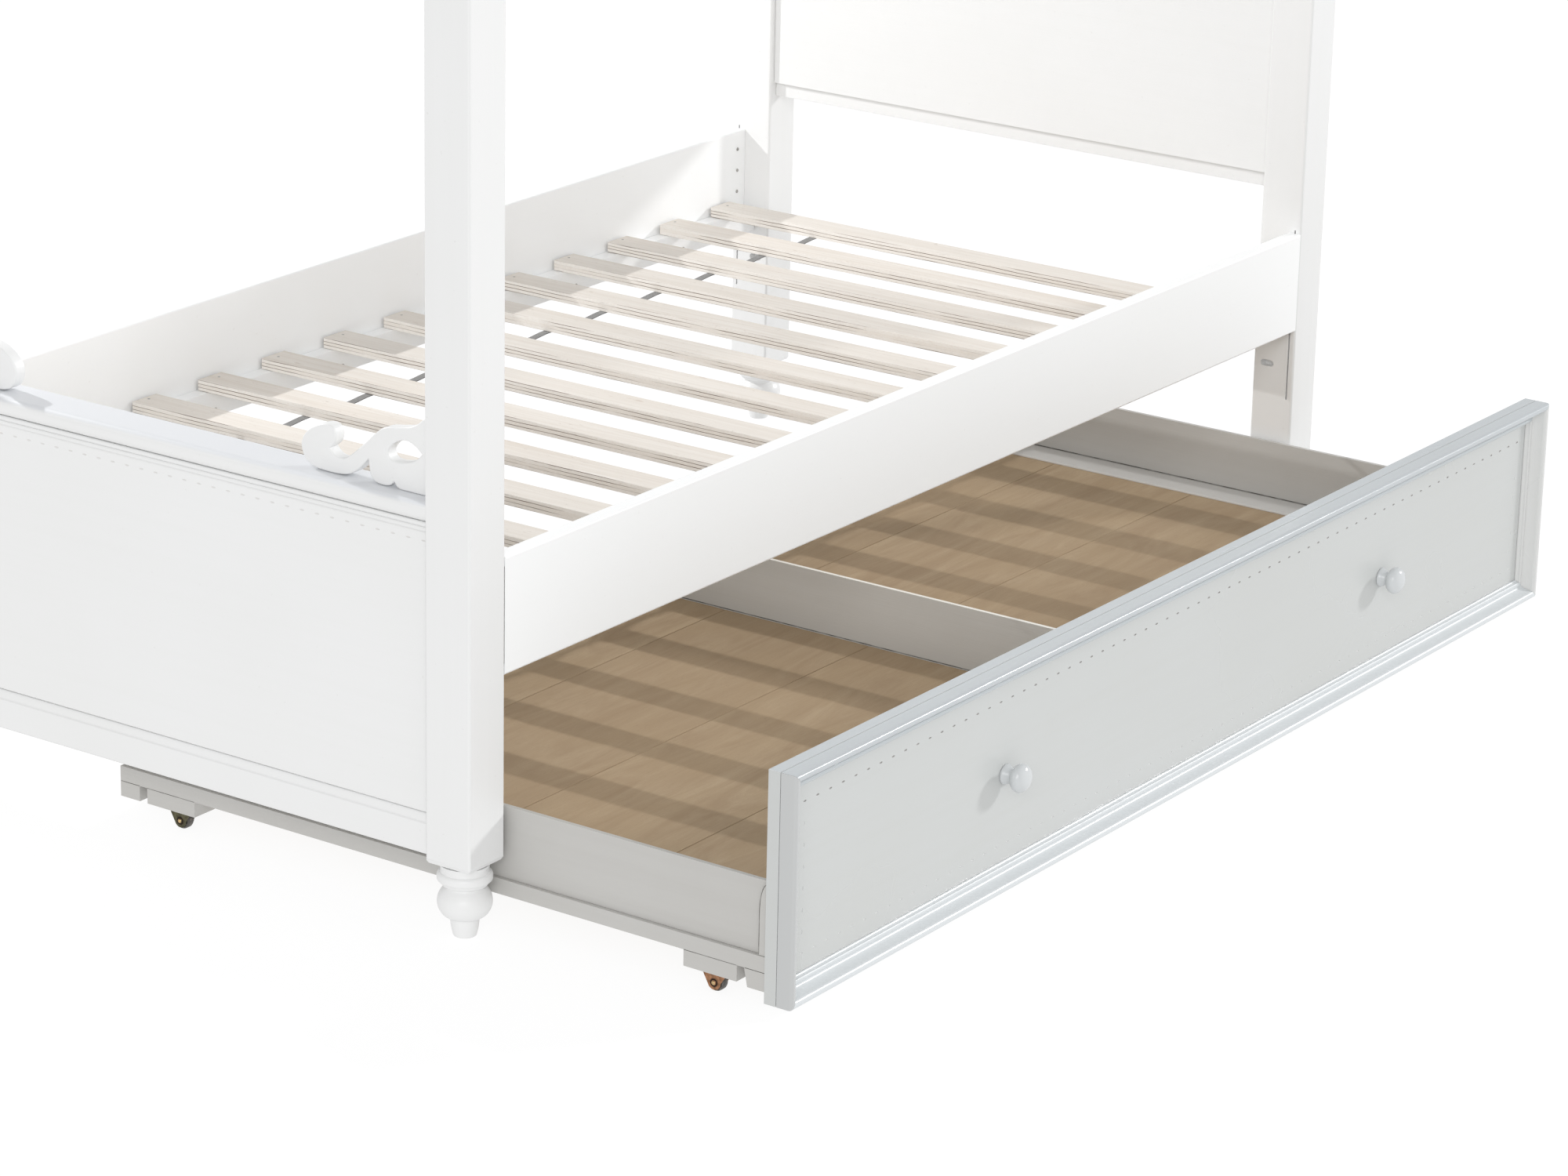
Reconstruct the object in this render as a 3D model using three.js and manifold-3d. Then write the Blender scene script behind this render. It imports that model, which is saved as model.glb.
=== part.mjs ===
// A twin poster bed with a rolling trundle drawer, in millimetres, +Z up.
// The bed is laid out from the outer corner of its near foot post: x runs to the
// head end, y to the far side. The trundle is laid out in its closed place and
// then rolled out. The last lines move the origin to the middle of the floor area.

import * as THREE from 'three';
import { mergeVertices } from 'three/addons/utils/BufferGeometryUtils.js';
import Module from 'manifold-3d';

const wasm = await Module();
wasm.setup();

// ---- driving dimensions ----------------------------------------------------
const GAP = 0.3;                 // clearance where two pieces touch
const CUT_PAST = 5;              // how far a cutting tool stands out of the face it cuts

const BED_LENGTH = 2069;
const BED_WIDTH = 1047;
const POST_SIDE = 69.5;
const POST_TOP = 1260;
const FOOT_HEIGHT = 96;

const RAIL_BOTTOM = 339;
const RAIL_TOP = 490;
const RAIL_THICK = 22;

const LEDGER_DEPTH = 22;
const LEDGER_HEIGHT = 38;
const LEDGER_TOP = 364;

const SLAT_COUNT = 14;
const SLAT_WIDTH = 50;
const SLAT_THICK = 16;
const SLAT_END_GAP = 4;          // from a slat's end to the rail
const FIRST_SLAT = 119;          // foot-side edge of the first slat
const LAST_SLAT = 1901.5;        // foot-side edge of the last slat
const STRAP_INSET = 224;         // from the outer side of the bed to a strap's middle
const STRAP_WIDTH = 13;
const STRAP_THICK = 1.3;

const FOOTBOARD_BOTTOM = 104;
const FOOTBOARD_FACE = 14;       // foot end of the bed to the face of the panel
const PANEL_THICK = 18;
const BASE_RAIL_TOP = 157;
const CAP_BOTTOM = 534;
const CAP_THICK = 24;
const REED_HEIGHT = 12.5;

const HEADBOARD_BOTTOM = 550;
const HEADBOARD_RAIL_HEIGHT = 22;
const HEADBOARD_TOP = 1120;

const SCROLL_FACE = 30;          // foot end of the bed to a scroll's face
const SCROLL_THICK = 18;

const TRUNDLE_PULL = 408;        // how far the trundle stands out of the bed
const FRONT_START = 72;          // foot-side end of the drawer front
const FRONT_END = 1997;
const FRONT_BOTTOM = 9;
const FRONT_TOP = 309;
const FRONT_THICK = 17;
const MOULDING_DEPTH = 24;

const BOX_BACK = 1046;           // y of the box's back face when closed
const BOARD_THICK = 6;
const SIDE_OUTER = 80;           // foot end of the bed to the box side's outer face
const BOARD_BOTTOM = 68;
const BOARD_TOP = 163.5;
const BACK_TOP = 153;
const BASE_OUTER = 74;
const BASE_WIDTH = 40;
const BASE_BOTTOM = 47;
const FLOOR_TOP = 73;
const DIVIDER_START = 1052;

const KNOB_LENGTH = 36;
const KNOB_HEIGHT = 156;
const KNOB_PLACES = { foot: 568, head: 1545 };

const BLOCK_BOTTOM = 25.7;
const WHEEL_RADIUS = 12;
const WHEEL_WIDTH = 12;
const WHEEL_INSET = 89;          // end of the bed to the wheel's middle
const WHEEL_ROWS = { front: 97, rear: 950 };
const BLOCK_ROWS = [[59, 138], [919, 1000], [1013, BOX_BACK]];

const INNER_START = POST_SIDE + GAP;                    // between the foot and head posts
const INNER_END = BED_LENGTH - POST_SIDE - GAP;
const NEAR_INSIDE = POST_SIDE + GAP;                    // between the near and far posts
const FAR_INSIDE = BED_WIDTH - POST_SIDE - GAP;

// ---- materials --------------------------------------------------------------
const finish = (color, roughness, metalness = 0) => () =>
  new THREE.MeshStandardMaterial({ color, roughness, metalness });

const whitePaint = finish(0xeceeee, 0.4);
const frontPaint = finish(0xdfe3e5, 0.35);
const greyPaint = finish(0xc9c8c2, 0.5);
const slatWood = finish(0xe3d9cf, 0.7);
const plywood = finish(0xa38d6e, 0.75);
const webbing = finish(0x8a8a8a, 0.9);
const brass = finish(0xb07a4a, 0.35, 1);
const wheelPlastic = finish(0x3c3a38, 0.5);

// ---- building helpers -------------------------------------------------------
function mesh(name, geometry, material) {
  const piece = new THREE.Mesh(geometry, material());
  piece.name = name;
  return piece;
}

function block([x0, x1], [y0, y1], [z0, z1]) {
  const geometry = new THREE.BoxGeometry(x1 - x0, y1 - y0, z1 - z0);
  return geometry.translate((x0 + x1) / 2, (y0 + y1) / 2, (z0 + z1) / 2);
}

// A profile drawn in (y, z) and run from x0 to x1.
function runAlongX(shape, x0, x1, curveSegments = 4) {
  const geometry = new THREE.ExtrudeGeometry(shape, { depth: x1 - x0, bevelEnabled: false, curveSegments });
  const turn = new THREE.Matrix4().set(0, 0, 1, x0, 1, 0, 0, 0, 0, 1, 0, 0, 0, 0, 0, 1);
  return geometry.applyMatrix4(turn);
}

// A profile drawn in (x, z) and run from y0 to y1.
function runAlongY(shape, y0, y1, curveSegments = 4) {
  const geometry = new THREE.ExtrudeGeometry(shape, { depth: y1 - y0, bevelEnabled: false, curveSegments });
  return geometry.rotateX(Math.PI / 2).translate(0, y1, 0);
}

function outline(points) {
  return new THREE.Shape(points.map(([a, b]) => new THREE.Vector2(a, b)));
}

function roundedRectangle([a0, a1], [b0, b1], radius) {
  const shape = new THREE.Shape();
  shape.moveTo(a0 + radius, b0);
  shape.lineTo(a1 - radius, b0);
  shape.absarc(a1 - radius, b0 + radius, radius, -Math.PI / 2, 0);
  shape.lineTo(a1, b1 - radius);
  shape.absarc(a1 - radius, b1 - radius, radius, 0, Math.PI / 2);
  shape.lineTo(a0 + radius, b1);
  shape.absarc(a0 + radius, b1 - radius, radius, Math.PI / 2, Math.PI);
  shape.lineTo(a0, b0 + radius);
  shape.absarc(a0 + radius, b0 + radius, radius, Math.PI, 1.5 * Math.PI);
  return shape;
}

function turned(profile, segments) {
  const points = profile.map(([radius, height]) => new THREE.Vector2(radius, height));
  return new THREE.LatheGeometry(points, segments).rotateX(Math.PI / 2);
}

function solid(geometry) {
  const bare = geometry.clone();
  bare.deleteAttribute('normal');
  bare.deleteAttribute('uv');
  const merged = mergeVertices(bare, 1e-4);
  const corners = merged.index.array;
  const kept = [];
  for (let i = 0; i < corners.length; i += 3) {
    const [a, b, c] = corners.slice(i, i + 3);
    if (a !== b && b !== c && c !== a) kept.push(a, b, c);
  }
  return new wasm.Manifold(new wasm.Mesh({
    numProp: 3,
    vertProperties: new Float32Array(merged.attributes.position.array),
    triVerts: new Uint32Array(kept),
  }));
}

function surface(manifold) {
  const { vertProperties, triVerts } = manifold.getMesh();
  const geometry = new THREE.BufferGeometry();
  geometry.setAttribute('position', new THREE.BufferAttribute(new Float32Array(vertProperties), 3));
  geometry.setIndex(new THREE.BufferAttribute(new Uint32Array(triVerts), 1));
  geometry.computeVertexNormals();
  return geometry;
}

function cut(geometry, tools) {
  return surface(tools.reduce((body, tool) => body.subtract(solid(tool)), solid(geometry)));
}

function join(geometries) {
  return surface(geometries.map(solid).reduce((body, next) => body.add(next)));
}

const mirrorX = (x) => BED_LENGTH - x;
const mirrorY = (y) => BED_WIDTH - y;
const ordered = (a, b) => [Math.min(a, b), Math.max(a, b)];
const around = (middle, width) => [middle - width / 2, middle + width / 2];

// ---- slat layout --------------------------------------------------------------
const slatStarts = Array.from({ length: SLAT_COUNT }, (_, i) =>
  FIRST_SLAT + (i * (LAST_SLAT - FIRST_SLAT)) / (SLAT_COUNT - 1));
const SLAT_BOTTOM = LEDGER_TOP + GAP;

// ---- posts and feet ---------------------------------------------------------
const HOOK_SLOT = { inset: 10, width: 2.6, depth: 14, bottom: 229, top: 495 };
const POCKET = { inset: 46, length: 22, height: 10, depth: 12, middle: 281 };

// A square post with eased corners. Both ends are rounded in over END_ROUND: the
// prism is trimmed by a four-sided turned solid whose flats lie on its faces.
const END_ROUND = 13;

function postBody(height) {
  const half = POST_SIDE / 2;
  const prism = new THREE.ExtrudeGeometry(roundedRectangle([-half, half], [-half, half], 4),
    { depth: height, bevelEnabled: false, curveSegments: 2 });
  const rounding = [0, 0.35, 0.7, 1].map((t) => {
    const angle = (t * Math.PI) / 2;
    return [half + 0.5 - END_ROUND * (1 - Math.sin(angle)) * 0.6, END_ROUND * (1 - Math.cos(angle))];
  });
  const lower = [[0, 0], ...rounding];
  const upper = lower.map(([reach, z]) => [reach, height - z]).reverse();
  const trim = turned([...lower, ...upper].map(([reach, z]) => [reach * Math.SQRT2, z]), 4);
  return surface(solid(prism).intersect(solid(trim.rotateZ(Math.PI / 4))));
}

function post(name, head, far) {
  const half = POST_SIDE / 2;
  const x = head ? mirrorX(half) : half;
  const y = far ? mirrorY(half) : half;
  const body = postBody(POST_TOP - FOOT_HEIGHT).translate(x, y, FOOT_HEIGHT);

  const face = head ? mirrorX(POST_SIDE) : POST_SIDE;
  const inwards = head ? 1 : -1;
  const across = (inset) => (far ? mirrorY(inset) : inset);
  const reach = (depth) => ordered(face - CUT_PAST * inwards, face + depth * inwards);
  const slot = block(reach(HOOK_SLOT.depth), around(across(HOOK_SLOT.inset), HOOK_SLOT.width),
    [HOOK_SLOT.bottom, HOOK_SLOT.top]);
  const pocketShape = roundedRectangle(around(across(POCKET.inset), POCKET.length),
    around(POCKET.middle, POCKET.height), POCKET.height / 2 - 0.2);
  return mesh(name, cut(body, [slot, runAlongX(pocketShape, ...reach(POCKET.depth))]), whitePaint);
}

// Ankle, ball, neck and collar, from the floor up to the post.
function turnedFoot(name, head, far) {
  const ball = Array.from({ length: 7 }, (_, i) => {
    const angle = -0.92 + (i * 1.95) / 6;
    return [13 + 21.7 * Math.cos(angle), 46 + 24 * Math.sin(angle)];
  });
  const top = FOOT_HEIGHT - GAP;
  const profile = [[0, 0], [14, 0], [15.5, 2], [17.5, 14], [18.5, 22], ...ball,
    [28, 68], [31, 72], [34, 75], [35, 80], [33, 85], [30, 87], [31, top], [0, top]];
  const x = head ? mirrorX(POST_SIDE / 2) : POST_SIDE / 2;
  const y = far ? mirrorY(POST_SIDE / 2) : POST_SIDE / 2;
  return mesh(name, turned(profile, 16).translate(x, y, 0), whitePaint);
}

// ---- footboard --------------------------------------------------------------
function footboardPanel() {
  const face = FOOTBOARD_FACE;
  return mesh('footboard_panel', block([face, face + PANEL_THICK], [NEAR_INSIDE, FAR_INSIDE],
    [BASE_RAIL_TOP + GAP, CAP_BOTTOM - GAP]), whitePaint);
}

function footboardBaseRail() {
  const face = FOOTBOARD_FACE;
  const profile = outline([[face - 6, FOOTBOARD_BOTTOM + 3], [face - 3, FOOTBOARD_BOTTOM],
    [face + 22, FOOTBOARD_BOTTOM], [face + 22, BASE_RAIL_TOP], [face, BASE_RAIL_TOP],
    [face - 1.5, BASE_RAIL_TOP - 1], [face - 3, BASE_RAIL_TOP - 4.5], [face - 3.6, BASE_RAIL_TOP - 10.5],
    [face - 6, BASE_RAIL_TOP - 12]]);
  return mesh('footboard_base_rail', runAlongY(profile, NEAR_INSIDE, FAR_INSIDE), whitePaint);
}

// A cap board with a rounded front edge and a small round on its back edge.
function capProfile(front, back, bottom, top) {
  const radius = (top - bottom) / 2 - 1;
  const small = 3;
  const shape = new THREE.Shape();
  shape.moveTo(back - small, bottom);
  shape.absarc(back - small, bottom + small, small, -Math.PI / 2, 0);
  shape.lineTo(back, top - small);
  shape.absarc(back - small, top - small, small, 0, Math.PI / 2);
  shape.lineTo(front + radius, top);
  shape.absarc(front + radius, top - radius, radius, Math.PI / 2, Math.PI);
  shape.lineTo(front, bottom + radius);
  shape.absarc(front + radius, bottom + radius, radius, Math.PI, 1.5 * Math.PI);
  return shape;
}

function footboardCap() {
  const profile = capProfile(4, POST_SIDE - 2, CAP_BOTTOM, CAP_BOTTOM + CAP_THICK);
  return mesh('footboard_cap', runAlongY(profile, NEAR_INSIDE, FAR_INSIDE), whitePaint);
}

// A strip of half-round reeds under the cap, proud of the panel's face.
function footboardReeding() {
  const reeds = 2;
  const pitch = (REED_HEIGHT - GAP) / reeds;
  const back = FOOTBOARD_FACE - GAP;
  const bottom = CAP_BOTTOM - REED_HEIGHT;
  const shape = new THREE.Shape();
  shape.moveTo(back, bottom + reeds * pitch);
  for (let i = reeds - 1; i >= 0; i -= 1) {
    const middle = bottom + (i + 0.5) * pitch;
    shape.lineTo(back - 3, middle + pitch / 2);
    shape.absarc(back - 3, middle, pitch / 2, Math.PI / 2, 1.5 * Math.PI);
  }
  shape.lineTo(back, bottom);
  return mesh('footboard_reeding', runAlongY(shape, NEAR_INSIDE, FAR_INSIDE), whitePaint);
}

// An S-scroll standing on the cap against a post. In the outline the first
// number is the distance from the post and the second the height over the cap.
function scrollOutline() {
  const shape = new THREE.Shape();
  const through = (points) => shape.splineThru(points.map(([a, b]) => new THREE.Vector2(a, b)));
  shape.moveTo(0, 0);
  shape.lineTo(60, 0);
  through([[66, 2], [71, 8]]);
  through([[77, 2.5], [85, 0.6], [95, 1], [103, 4], [108.5, 13], [111, 29]]);
  through([[125, 14], [139, 4.8], [156, 0.8], [184, 0.7], [201, 4], [212, 12], [217, 26], [214, 38],
    [204, 49], [189, 57.5], [175, 61], [165, 58], [161.5, 50], [164, 39], [172, 31]]);
  through([[163, 23.5], [151, 22], [140, 28], [116, 48.5], [101, 63], [86, 73.5], [64, 78],
    [48, 81.5], [36, 87], [26, 95], [12, 104], [0, 108]]);
  shape.lineTo(0, 0);
  const eye = new THREE.Path();
  eye.moveTo(27.5, 51);
  eye.splineThru([[37, 42], [50, 36.5], [66, 34], [77, 36.5], [80, 45], [73, 55], [62, 61.5], [50, 63.5],
    [37, 58.5], [27.5, 51]].map(([a, b]) => new THREE.Vector2(a, b)));
  shape.holes.push(eye);
  return shape;
}

function scroll(name, far) {
  const geometry = new THREE.ExtrudeGeometry(scrollOutline(),
    { depth: SCROLL_THICK, bevelEnabled: false, curveSegments: 4 });
  const foot = CAP_BOTTOM + CAP_THICK + GAP;
  const turn = new THREE.Matrix4().set(0, 0, 1, SCROLL_FACE, 1, 0, 0, NEAR_INSIDE, 0, 1, 0, foot, 0, 0, 0, 1);
  geometry.applyMatrix4(turn);
  if (!far) return mesh(name, geometry, whitePaint);
  const flipped = geometry.rotateZ(Math.PI);
  return mesh(name, flipped.translate(2 * SCROLL_FACE + SCROLL_THICK, BED_WIDTH, 0), whitePaint);
}

// ---- headboard --------------------------------------------------------------
function headboard() {
  const face = mirrorX(POST_SIDE - 9);
  const span = [NEAR_INSIDE, FAR_INSIDE];
  const panelBottom = HEADBOARD_BOTTOM + HEADBOARD_RAIL_HEIGHT;
  const capBottom = HEADBOARD_TOP - CAP_THICK;
  return [
    mesh('headboard_panel', block([face, face + PANEL_THICK], span, [panelBottom, capBottom - GAP]),
      whitePaint),
    mesh('headboard_lower_rail', block([face + 6, face + 30], span, [HEADBOARD_BOTTOM, panelBottom - GAP]),
      whitePaint),
    mesh('headboard_cap', runAlongY(capProfile(mirrorX(POST_SIDE - 2), mirrorX(4), capBottom, HEADBOARD_TOP),
      ...span), whitePaint),
  ];
}

// ---- side rails, ledgers, slats ----------------------------------------------
// A recess in each end of a rail for its hook plate, in line with the post's slot.
const HOOK_RECESS = { depth: 2.5, width: 16.6, height: 126.6 };

function sideRail(name, far) {
  const y = far ? [BED_WIDTH - RAIL_THICK, BED_WIDTH] : [0, RAIL_THICK];
  const board = runAlongX(roundedRectangle(y, [RAIL_BOTTOM, RAIL_TOP], 2.5), INNER_START, INNER_END, 2);
  const recessY = around(far ? mirrorY(HOOK_SLOT.inset) : HOOK_SLOT.inset, HOOK_RECESS.width);
  const recessZ = around((RAIL_BOTTOM + RAIL_TOP) / 2, HOOK_RECESS.height);
  const ends = [[INNER_START - CUT_PAST, INNER_START + HOOK_RECESS.depth],
    [INNER_END - HOOK_RECESS.depth, INNER_END + CUT_PAST]];
  return mesh(name, cut(board, ends.map((x) => block(x, recessY, recessZ))), whitePaint);
}

function slatLedger(name, far) {
  const near = [RAIL_THICK + GAP, RAIL_THICK + GAP + LEDGER_DEPTH];
  const y = far ? ordered(...near.map(mirrorY)) : near;
  return mesh(name, block([INNER_START + 1, INNER_END - 1], y, [LEDGER_TOP - LEDGER_HEIGHT, LEDGER_TOP]),
    whitePaint);
}

function slats() {
  const start = RAIL_THICK + SLAT_END_GAP;
  return slatStarts.map((x, i) => mesh(`slat_${String(i + 1).padStart(2, '0')}`,
    block([x, x + SLAT_WIDTH], [start, mirrorY(start)], [SLAT_BOTTOM, SLAT_BOTTOM + SLAT_THICK]), slatWood));
}

function slatStrap(name, y) {
  const x = [slatStarts[0], slatStarts[SLAT_COUNT - 1] + SLAT_WIDTH];
  const z = [SLAT_BOTTOM - GAP - STRAP_THICK, SLAT_BOTTOM - GAP];
  return mesh(name, block(x, [y - STRAP_WIDTH / 2, y + STRAP_WIDTH / 2], z), webbing);
}

// ---- trundle: front ----------------------------------------------------------
const SCREW_BORE = 2.6;          // radius of the bore for a knob's screw

function frontBoard() {
  const x = [FRONT_START, FRONT_END];
  const board = block(x, [0, FRONT_THICK], [FRONT_BOTTOM, FRONT_TOP]);
  const bores = Object.values(KNOB_PLACES).map((place) =>
    new THREE.CylinderGeometry(SCREW_BORE, SCREW_BORE, 2 * FRONT_THICK, 12).translate(place, 0, KNOB_HEIGHT));
  return mesh('trundle_front_board', cut(board, bores), frontPaint);
}

// Cross-section of the picture-frame moulding: distance in from the front's
// edge, then height over the board.
function mouldingSection() {
  const top = MOULDING_DEPTH;
  return outline([[0, GAP], [0, top - 5], [1.2, top - 1.8], [4, top], [8, top - 0.6], [10.5, top - 3],
    [12, top - 8], [14.5, top - 14], [18, top - 17.5], [20.5, top - 18], [22, top - 16],
    [24.5, top - 15.6], [26.5, top - 17.5], [27, top - 20], [29, top - 22], [29, GAP]]);
}

// A strip of the moulding, mitred at both ends, run along +x from the origin
// with its outer edge on y = 0 and its face towards +z.
function mitredStrip(length) {
  const section = mouldingSection();
  const geometry = new THREE.ExtrudeGeometry(section, { depth: length, bevelEnabled: false });
  const position = geometry.attributes.position;
  for (let i = 0; i < position.count; i += 1) {
    const inset = position.getX(i) + GAP / 2;
    position.setZ(i, position.getZ(i) < length / 2 ? inset : length - inset);
  }
  geometry.applyMatrix4(new THREE.Matrix4().set(0, 0, 1, 0, 1, 0, 0, 0, 0, 1, 0, 0, 0, 0, 0, 1));
  geometry.computeVertexNormals();
  return geometry;
}

function frontMoulding() {
  const wide = FRONT_END - FRONT_START;
  const tall = FRONT_TOP - FRONT_BOTTOM;
  const edges = [
    ['bottom', wide, 0, FRONT_START, FRONT_BOTTOM],
    ['head', tall, 1, FRONT_END, FRONT_BOTTOM],
    ['top', wide, 2, FRONT_END, FRONT_TOP],
    ['foot', tall, 3, FRONT_START, FRONT_TOP],
  ];
  return edges.map(([side, length, quarter, x, z]) => {
    const strip = mitredStrip(length).rotateZ((quarter * Math.PI) / 2).rotateX(Math.PI / 2);
    return mesh(`front_moulding_${side}`, strip.translate(x, 0, z), frontPaint);
  });
}

const KNOB_BORE = 15;

function knob(name, x) {
  const ball = Array.from({ length: 7 }, (_, i) => {
    const angle = -0.9 + (i * (0.9 + Math.PI / 2 - 0.12)) / 6;
    return [19 * Math.cos(angle), KNOB_LENGTH - 12.5 + 12.5 * Math.sin(angle)];
  });
  const profile = [[0, KNOB_BORE], [SCREW_BORE, KNOB_BORE], [SCREW_BORE, GAP], [13, GAP], [13.5, 3],
    [12, 6], [9, 9], [8.5, 12], ...ball, [0, KNOB_LENGTH]];
  const geometry = turned(profile, 20).rotateX(Math.PI / 2);
  return mesh(name, geometry.translate(x, 0, KNOB_HEIGHT), frontPaint);
}

// ---- trundle: box --------------------------------------------------------------
const BOX_FRONT = FRONT_THICK + GAP;
const SIDE_INNER = SIDE_OUTER + BOARD_THICK;
const BAY_START = SIDE_INNER + GAP;
const BAY_END = mirrorX(BAY_START);
const BACK_INNER = BOX_BACK - BOARD_THICK - GAP;
const BASE_TOP = BOARD_BOTTOM - GAP;

// A box side with a thin upright cleat, rounded at the top, where it meets the front.
function boxSide() {
  const board = block([SIDE_OUTER, SIDE_INNER], [BOX_FRONT, BACK_INNER], [BOARD_BOTTOM, BOARD_TOP]);
  const width = 12;
  const curve = 38;
  const shoulder = BOARD_TOP - 2 - curve;
  const shape = new THREE.Shape();
  shape.moveTo(BOX_FRONT, BOARD_BOTTOM);
  shape.lineTo(BOX_FRONT + width, BOARD_BOTTOM);
  shape.absellipse(BOX_FRONT, shoulder, width, curve, 0, Math.PI / 2);
  shape.lineTo(BOX_FRONT, BOARD_BOTTOM);
  return join([board, runAlongX(shape, SIDE_OUTER - 4.5, SIDE_OUTER + 1)]);
}

// The same piece for the other end of the bed, turned end for end and kept solid.
function acrossTheBed(geometry) {
  return surface(solid(geometry).mirror([1, 0, 0]).translate([BED_LENGTH, 0, 0]));
}

function boxBoards() {
  const z = [BOARD_BOTTOM, BOARD_TOP];
  return [
    mesh('trundle_side_foot', boxSide(), greyPaint),
    mesh('trundle_side_head', acrossTheBed(boxSide()), greyPaint),
    mesh('trundle_back', block([SIDE_OUTER, mirrorX(SIDE_OUTER)], [BOX_BACK - BOARD_THICK, BOX_BACK],
      [BOARD_BOTTOM, BACK_TOP]), greyPaint),
    mesh('trundle_divider', block([DIVIDER_START, DIVIDER_START + BOARD_THICK], [BOX_FRONT, BACK_INNER], z),
      greyPaint),
  ];
}

// The glued frame under the box: an end rail with its blocks at each end of the
// bed, and three thinner bearers across the floor, let into the end rails.
function baseFrame() {
  const x = [BASE_OUTER, BASE_OUTER + BASE_WIDTH];
  const corner = BLOCK_BOTTOM - 3;
  const lower = BLOCK_ROWS.flatMap(([y0, y1]) =>
    [[y0, BASE_BOTTOM], [y0, BLOCK_BOTTOM], [y1, BLOCK_BOTTOM], [y1, BASE_BOTTOM]]);
  const side = outline([[BOX_FRONT, corner], [BOX_FRONT + 26, corner], [BOX_FRONT + 31, BASE_BOTTOM],
    ...lower.slice(0, -1), [BOX_BACK, BASE_TOP], [BOX_FRONT, BASE_TOP]]);
  const end = runAlongX(side, ...x);
  const across = [x[1] - 1, mirrorX(x[1] - 1)];
  const starts = [BOX_FRONT + 1, (BOX_FRONT + BOX_BACK - BASE_WIDTH) / 2, BOX_BACK - BASE_WIDTH - 1];
  const bearers = starts.map((y) => block(across, [y, y + BASE_WIDTH], [BASE_BOTTOM + 4, BASE_TOP - 0.2]));
  return mesh('trundle_base_frame', join([end, acrossTheBed(end), ...bearers]), greyPaint);
}

// Plywood floors, one on each side of the divider.
function floors() {
  const y = [BOX_FRONT, BACK_INNER];
  const z = [BOARD_BOTTOM + GAP, FLOOR_TOP];
  return [
    mesh('trundle_floor_foot', block([BAY_START, DIVIDER_START - GAP], y, z), plywood),
    mesh('trundle_floor_head', block([DIVIDER_START + BOARD_THICK + GAP, BAY_END], y, z), plywood),
  ];
}

// ---- trundle: casters ------------------------------------------------------------
const bedEnds = { foot: (x) => x, head: mirrorX };
const CHEEK = { thick: 1.2, inset: WHEEL_WIDTH / 2 + 1.2, halfLength: 18, round: 9.5 };
const PLATE_TOP = BLOCK_BOTTOM - GAP;
const AXLE_RADIUS = 2;

function cheek(x, y) {
  const shape = new THREE.Shape();
  shape.moveTo(y - CHEEK.halfLength, PLATE_TOP);
  shape.lineTo(y - CHEEK.round, WHEEL_RADIUS);
  shape.absarc(y, WHEEL_RADIUS, CHEEK.round, Math.PI * 1.1, Math.PI * 1.9);
  shape.lineTo(y + CHEEK.halfLength, PLATE_TOP);
  return runAlongX(shape, x, x + CHEEK.thick);
}

// A riveted axle through both cheeks, with a low head at each end.
function axle(x, y) {
  const half = CHEEK.inset + CHEEK.thick;
  const head = AXLE_RADIUS + 2;
  const profile = [[0, -half - 1.2], [head * 0.7, -half - 1], [head, -half], [AXLE_RADIUS, -half],
    [AXLE_RADIUS, half], [head, half], [head * 0.7, half + 1], [0, half + 1.2]];
  return turned(profile, 10).rotateY(Math.PI / 2).translate(x, y, WHEEL_RADIUS);
}

function bracket(name, x, y) {
  const plate = block([x - CHEEK.inset - CHEEK.thick, x + CHEEK.inset + CHEEK.thick],
    [y - CHEEK.halfLength, y + CHEEK.halfLength], [PLATE_TOP - CHEEK.thick, PLATE_TOP]);
  const cheeks = [cheek(x - CHEEK.inset - CHEEK.thick, y), cheek(x + CHEEK.inset, y)];
  return mesh(name, join([plate, ...cheeks, axle(x, y)]), brass);
}

function wheel(name, x, y) {
  const half = WHEEL_WIDTH / 2;
  const bore = AXLE_RADIUS + GAP;
  const profile = [[bore, -half], [5, -half], [6, -half + 1], [10.5, -half + 0.6], [WHEEL_RADIUS, -half + 2],
    [WHEEL_RADIUS, half - 2], [10.5, half - 0.6], [6, half - 1], [5, half], [bore, half], [bore, -half]];
  const piece = mesh(name, turned(profile, 20).rotateY(Math.PI / 2), wheelPlastic);
  piece.position.set(x, y, WHEEL_RADIUS);
  return piece;
}

function casters() {
  return Object.entries(bedEnds).flatMap(([end, place]) =>
    Object.entries(WHEEL_ROWS).flatMap(([row, y]) => {
      const x = place(WHEEL_INSET);
      return [bracket(`caster_bracket_${end}_${row}`, x, y), wheel(`caster_wheel_${end}_${row}`, x, y)];
    }));
}

// ---- the whole bed -----------------------------------------------------------------
function bedFrame() {
  const frame = new THREE.Group();
  for (const [end, head] of [['foot', false], ['head', true]]) {
    for (const [side, far] of [['near', false], ['far', true]]) {
      frame.add(post(`post_${end}_${side}`, head, far), turnedFoot(`turned_foot_${end}_${side}`, head, far));
    }
  }
  frame.add(footboardPanel(), footboardBaseRail(), footboardCap(), footboardReeding());
  frame.add(scroll('scroll_near', false), scroll('scroll_far', true));
  frame.add(...headboard());
  frame.add(sideRail('side_rail_near', false), sideRail('side_rail_far', true));
  frame.add(slatLedger('slat_ledger_near', false), slatLedger('slat_ledger_far', true));
  frame.add(...slats());
  frame.add(slatStrap('slat_strap_near', STRAP_INSET), slatStrap('slat_strap_far', mirrorY(STRAP_INSET)));
  return frame;
}

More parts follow.
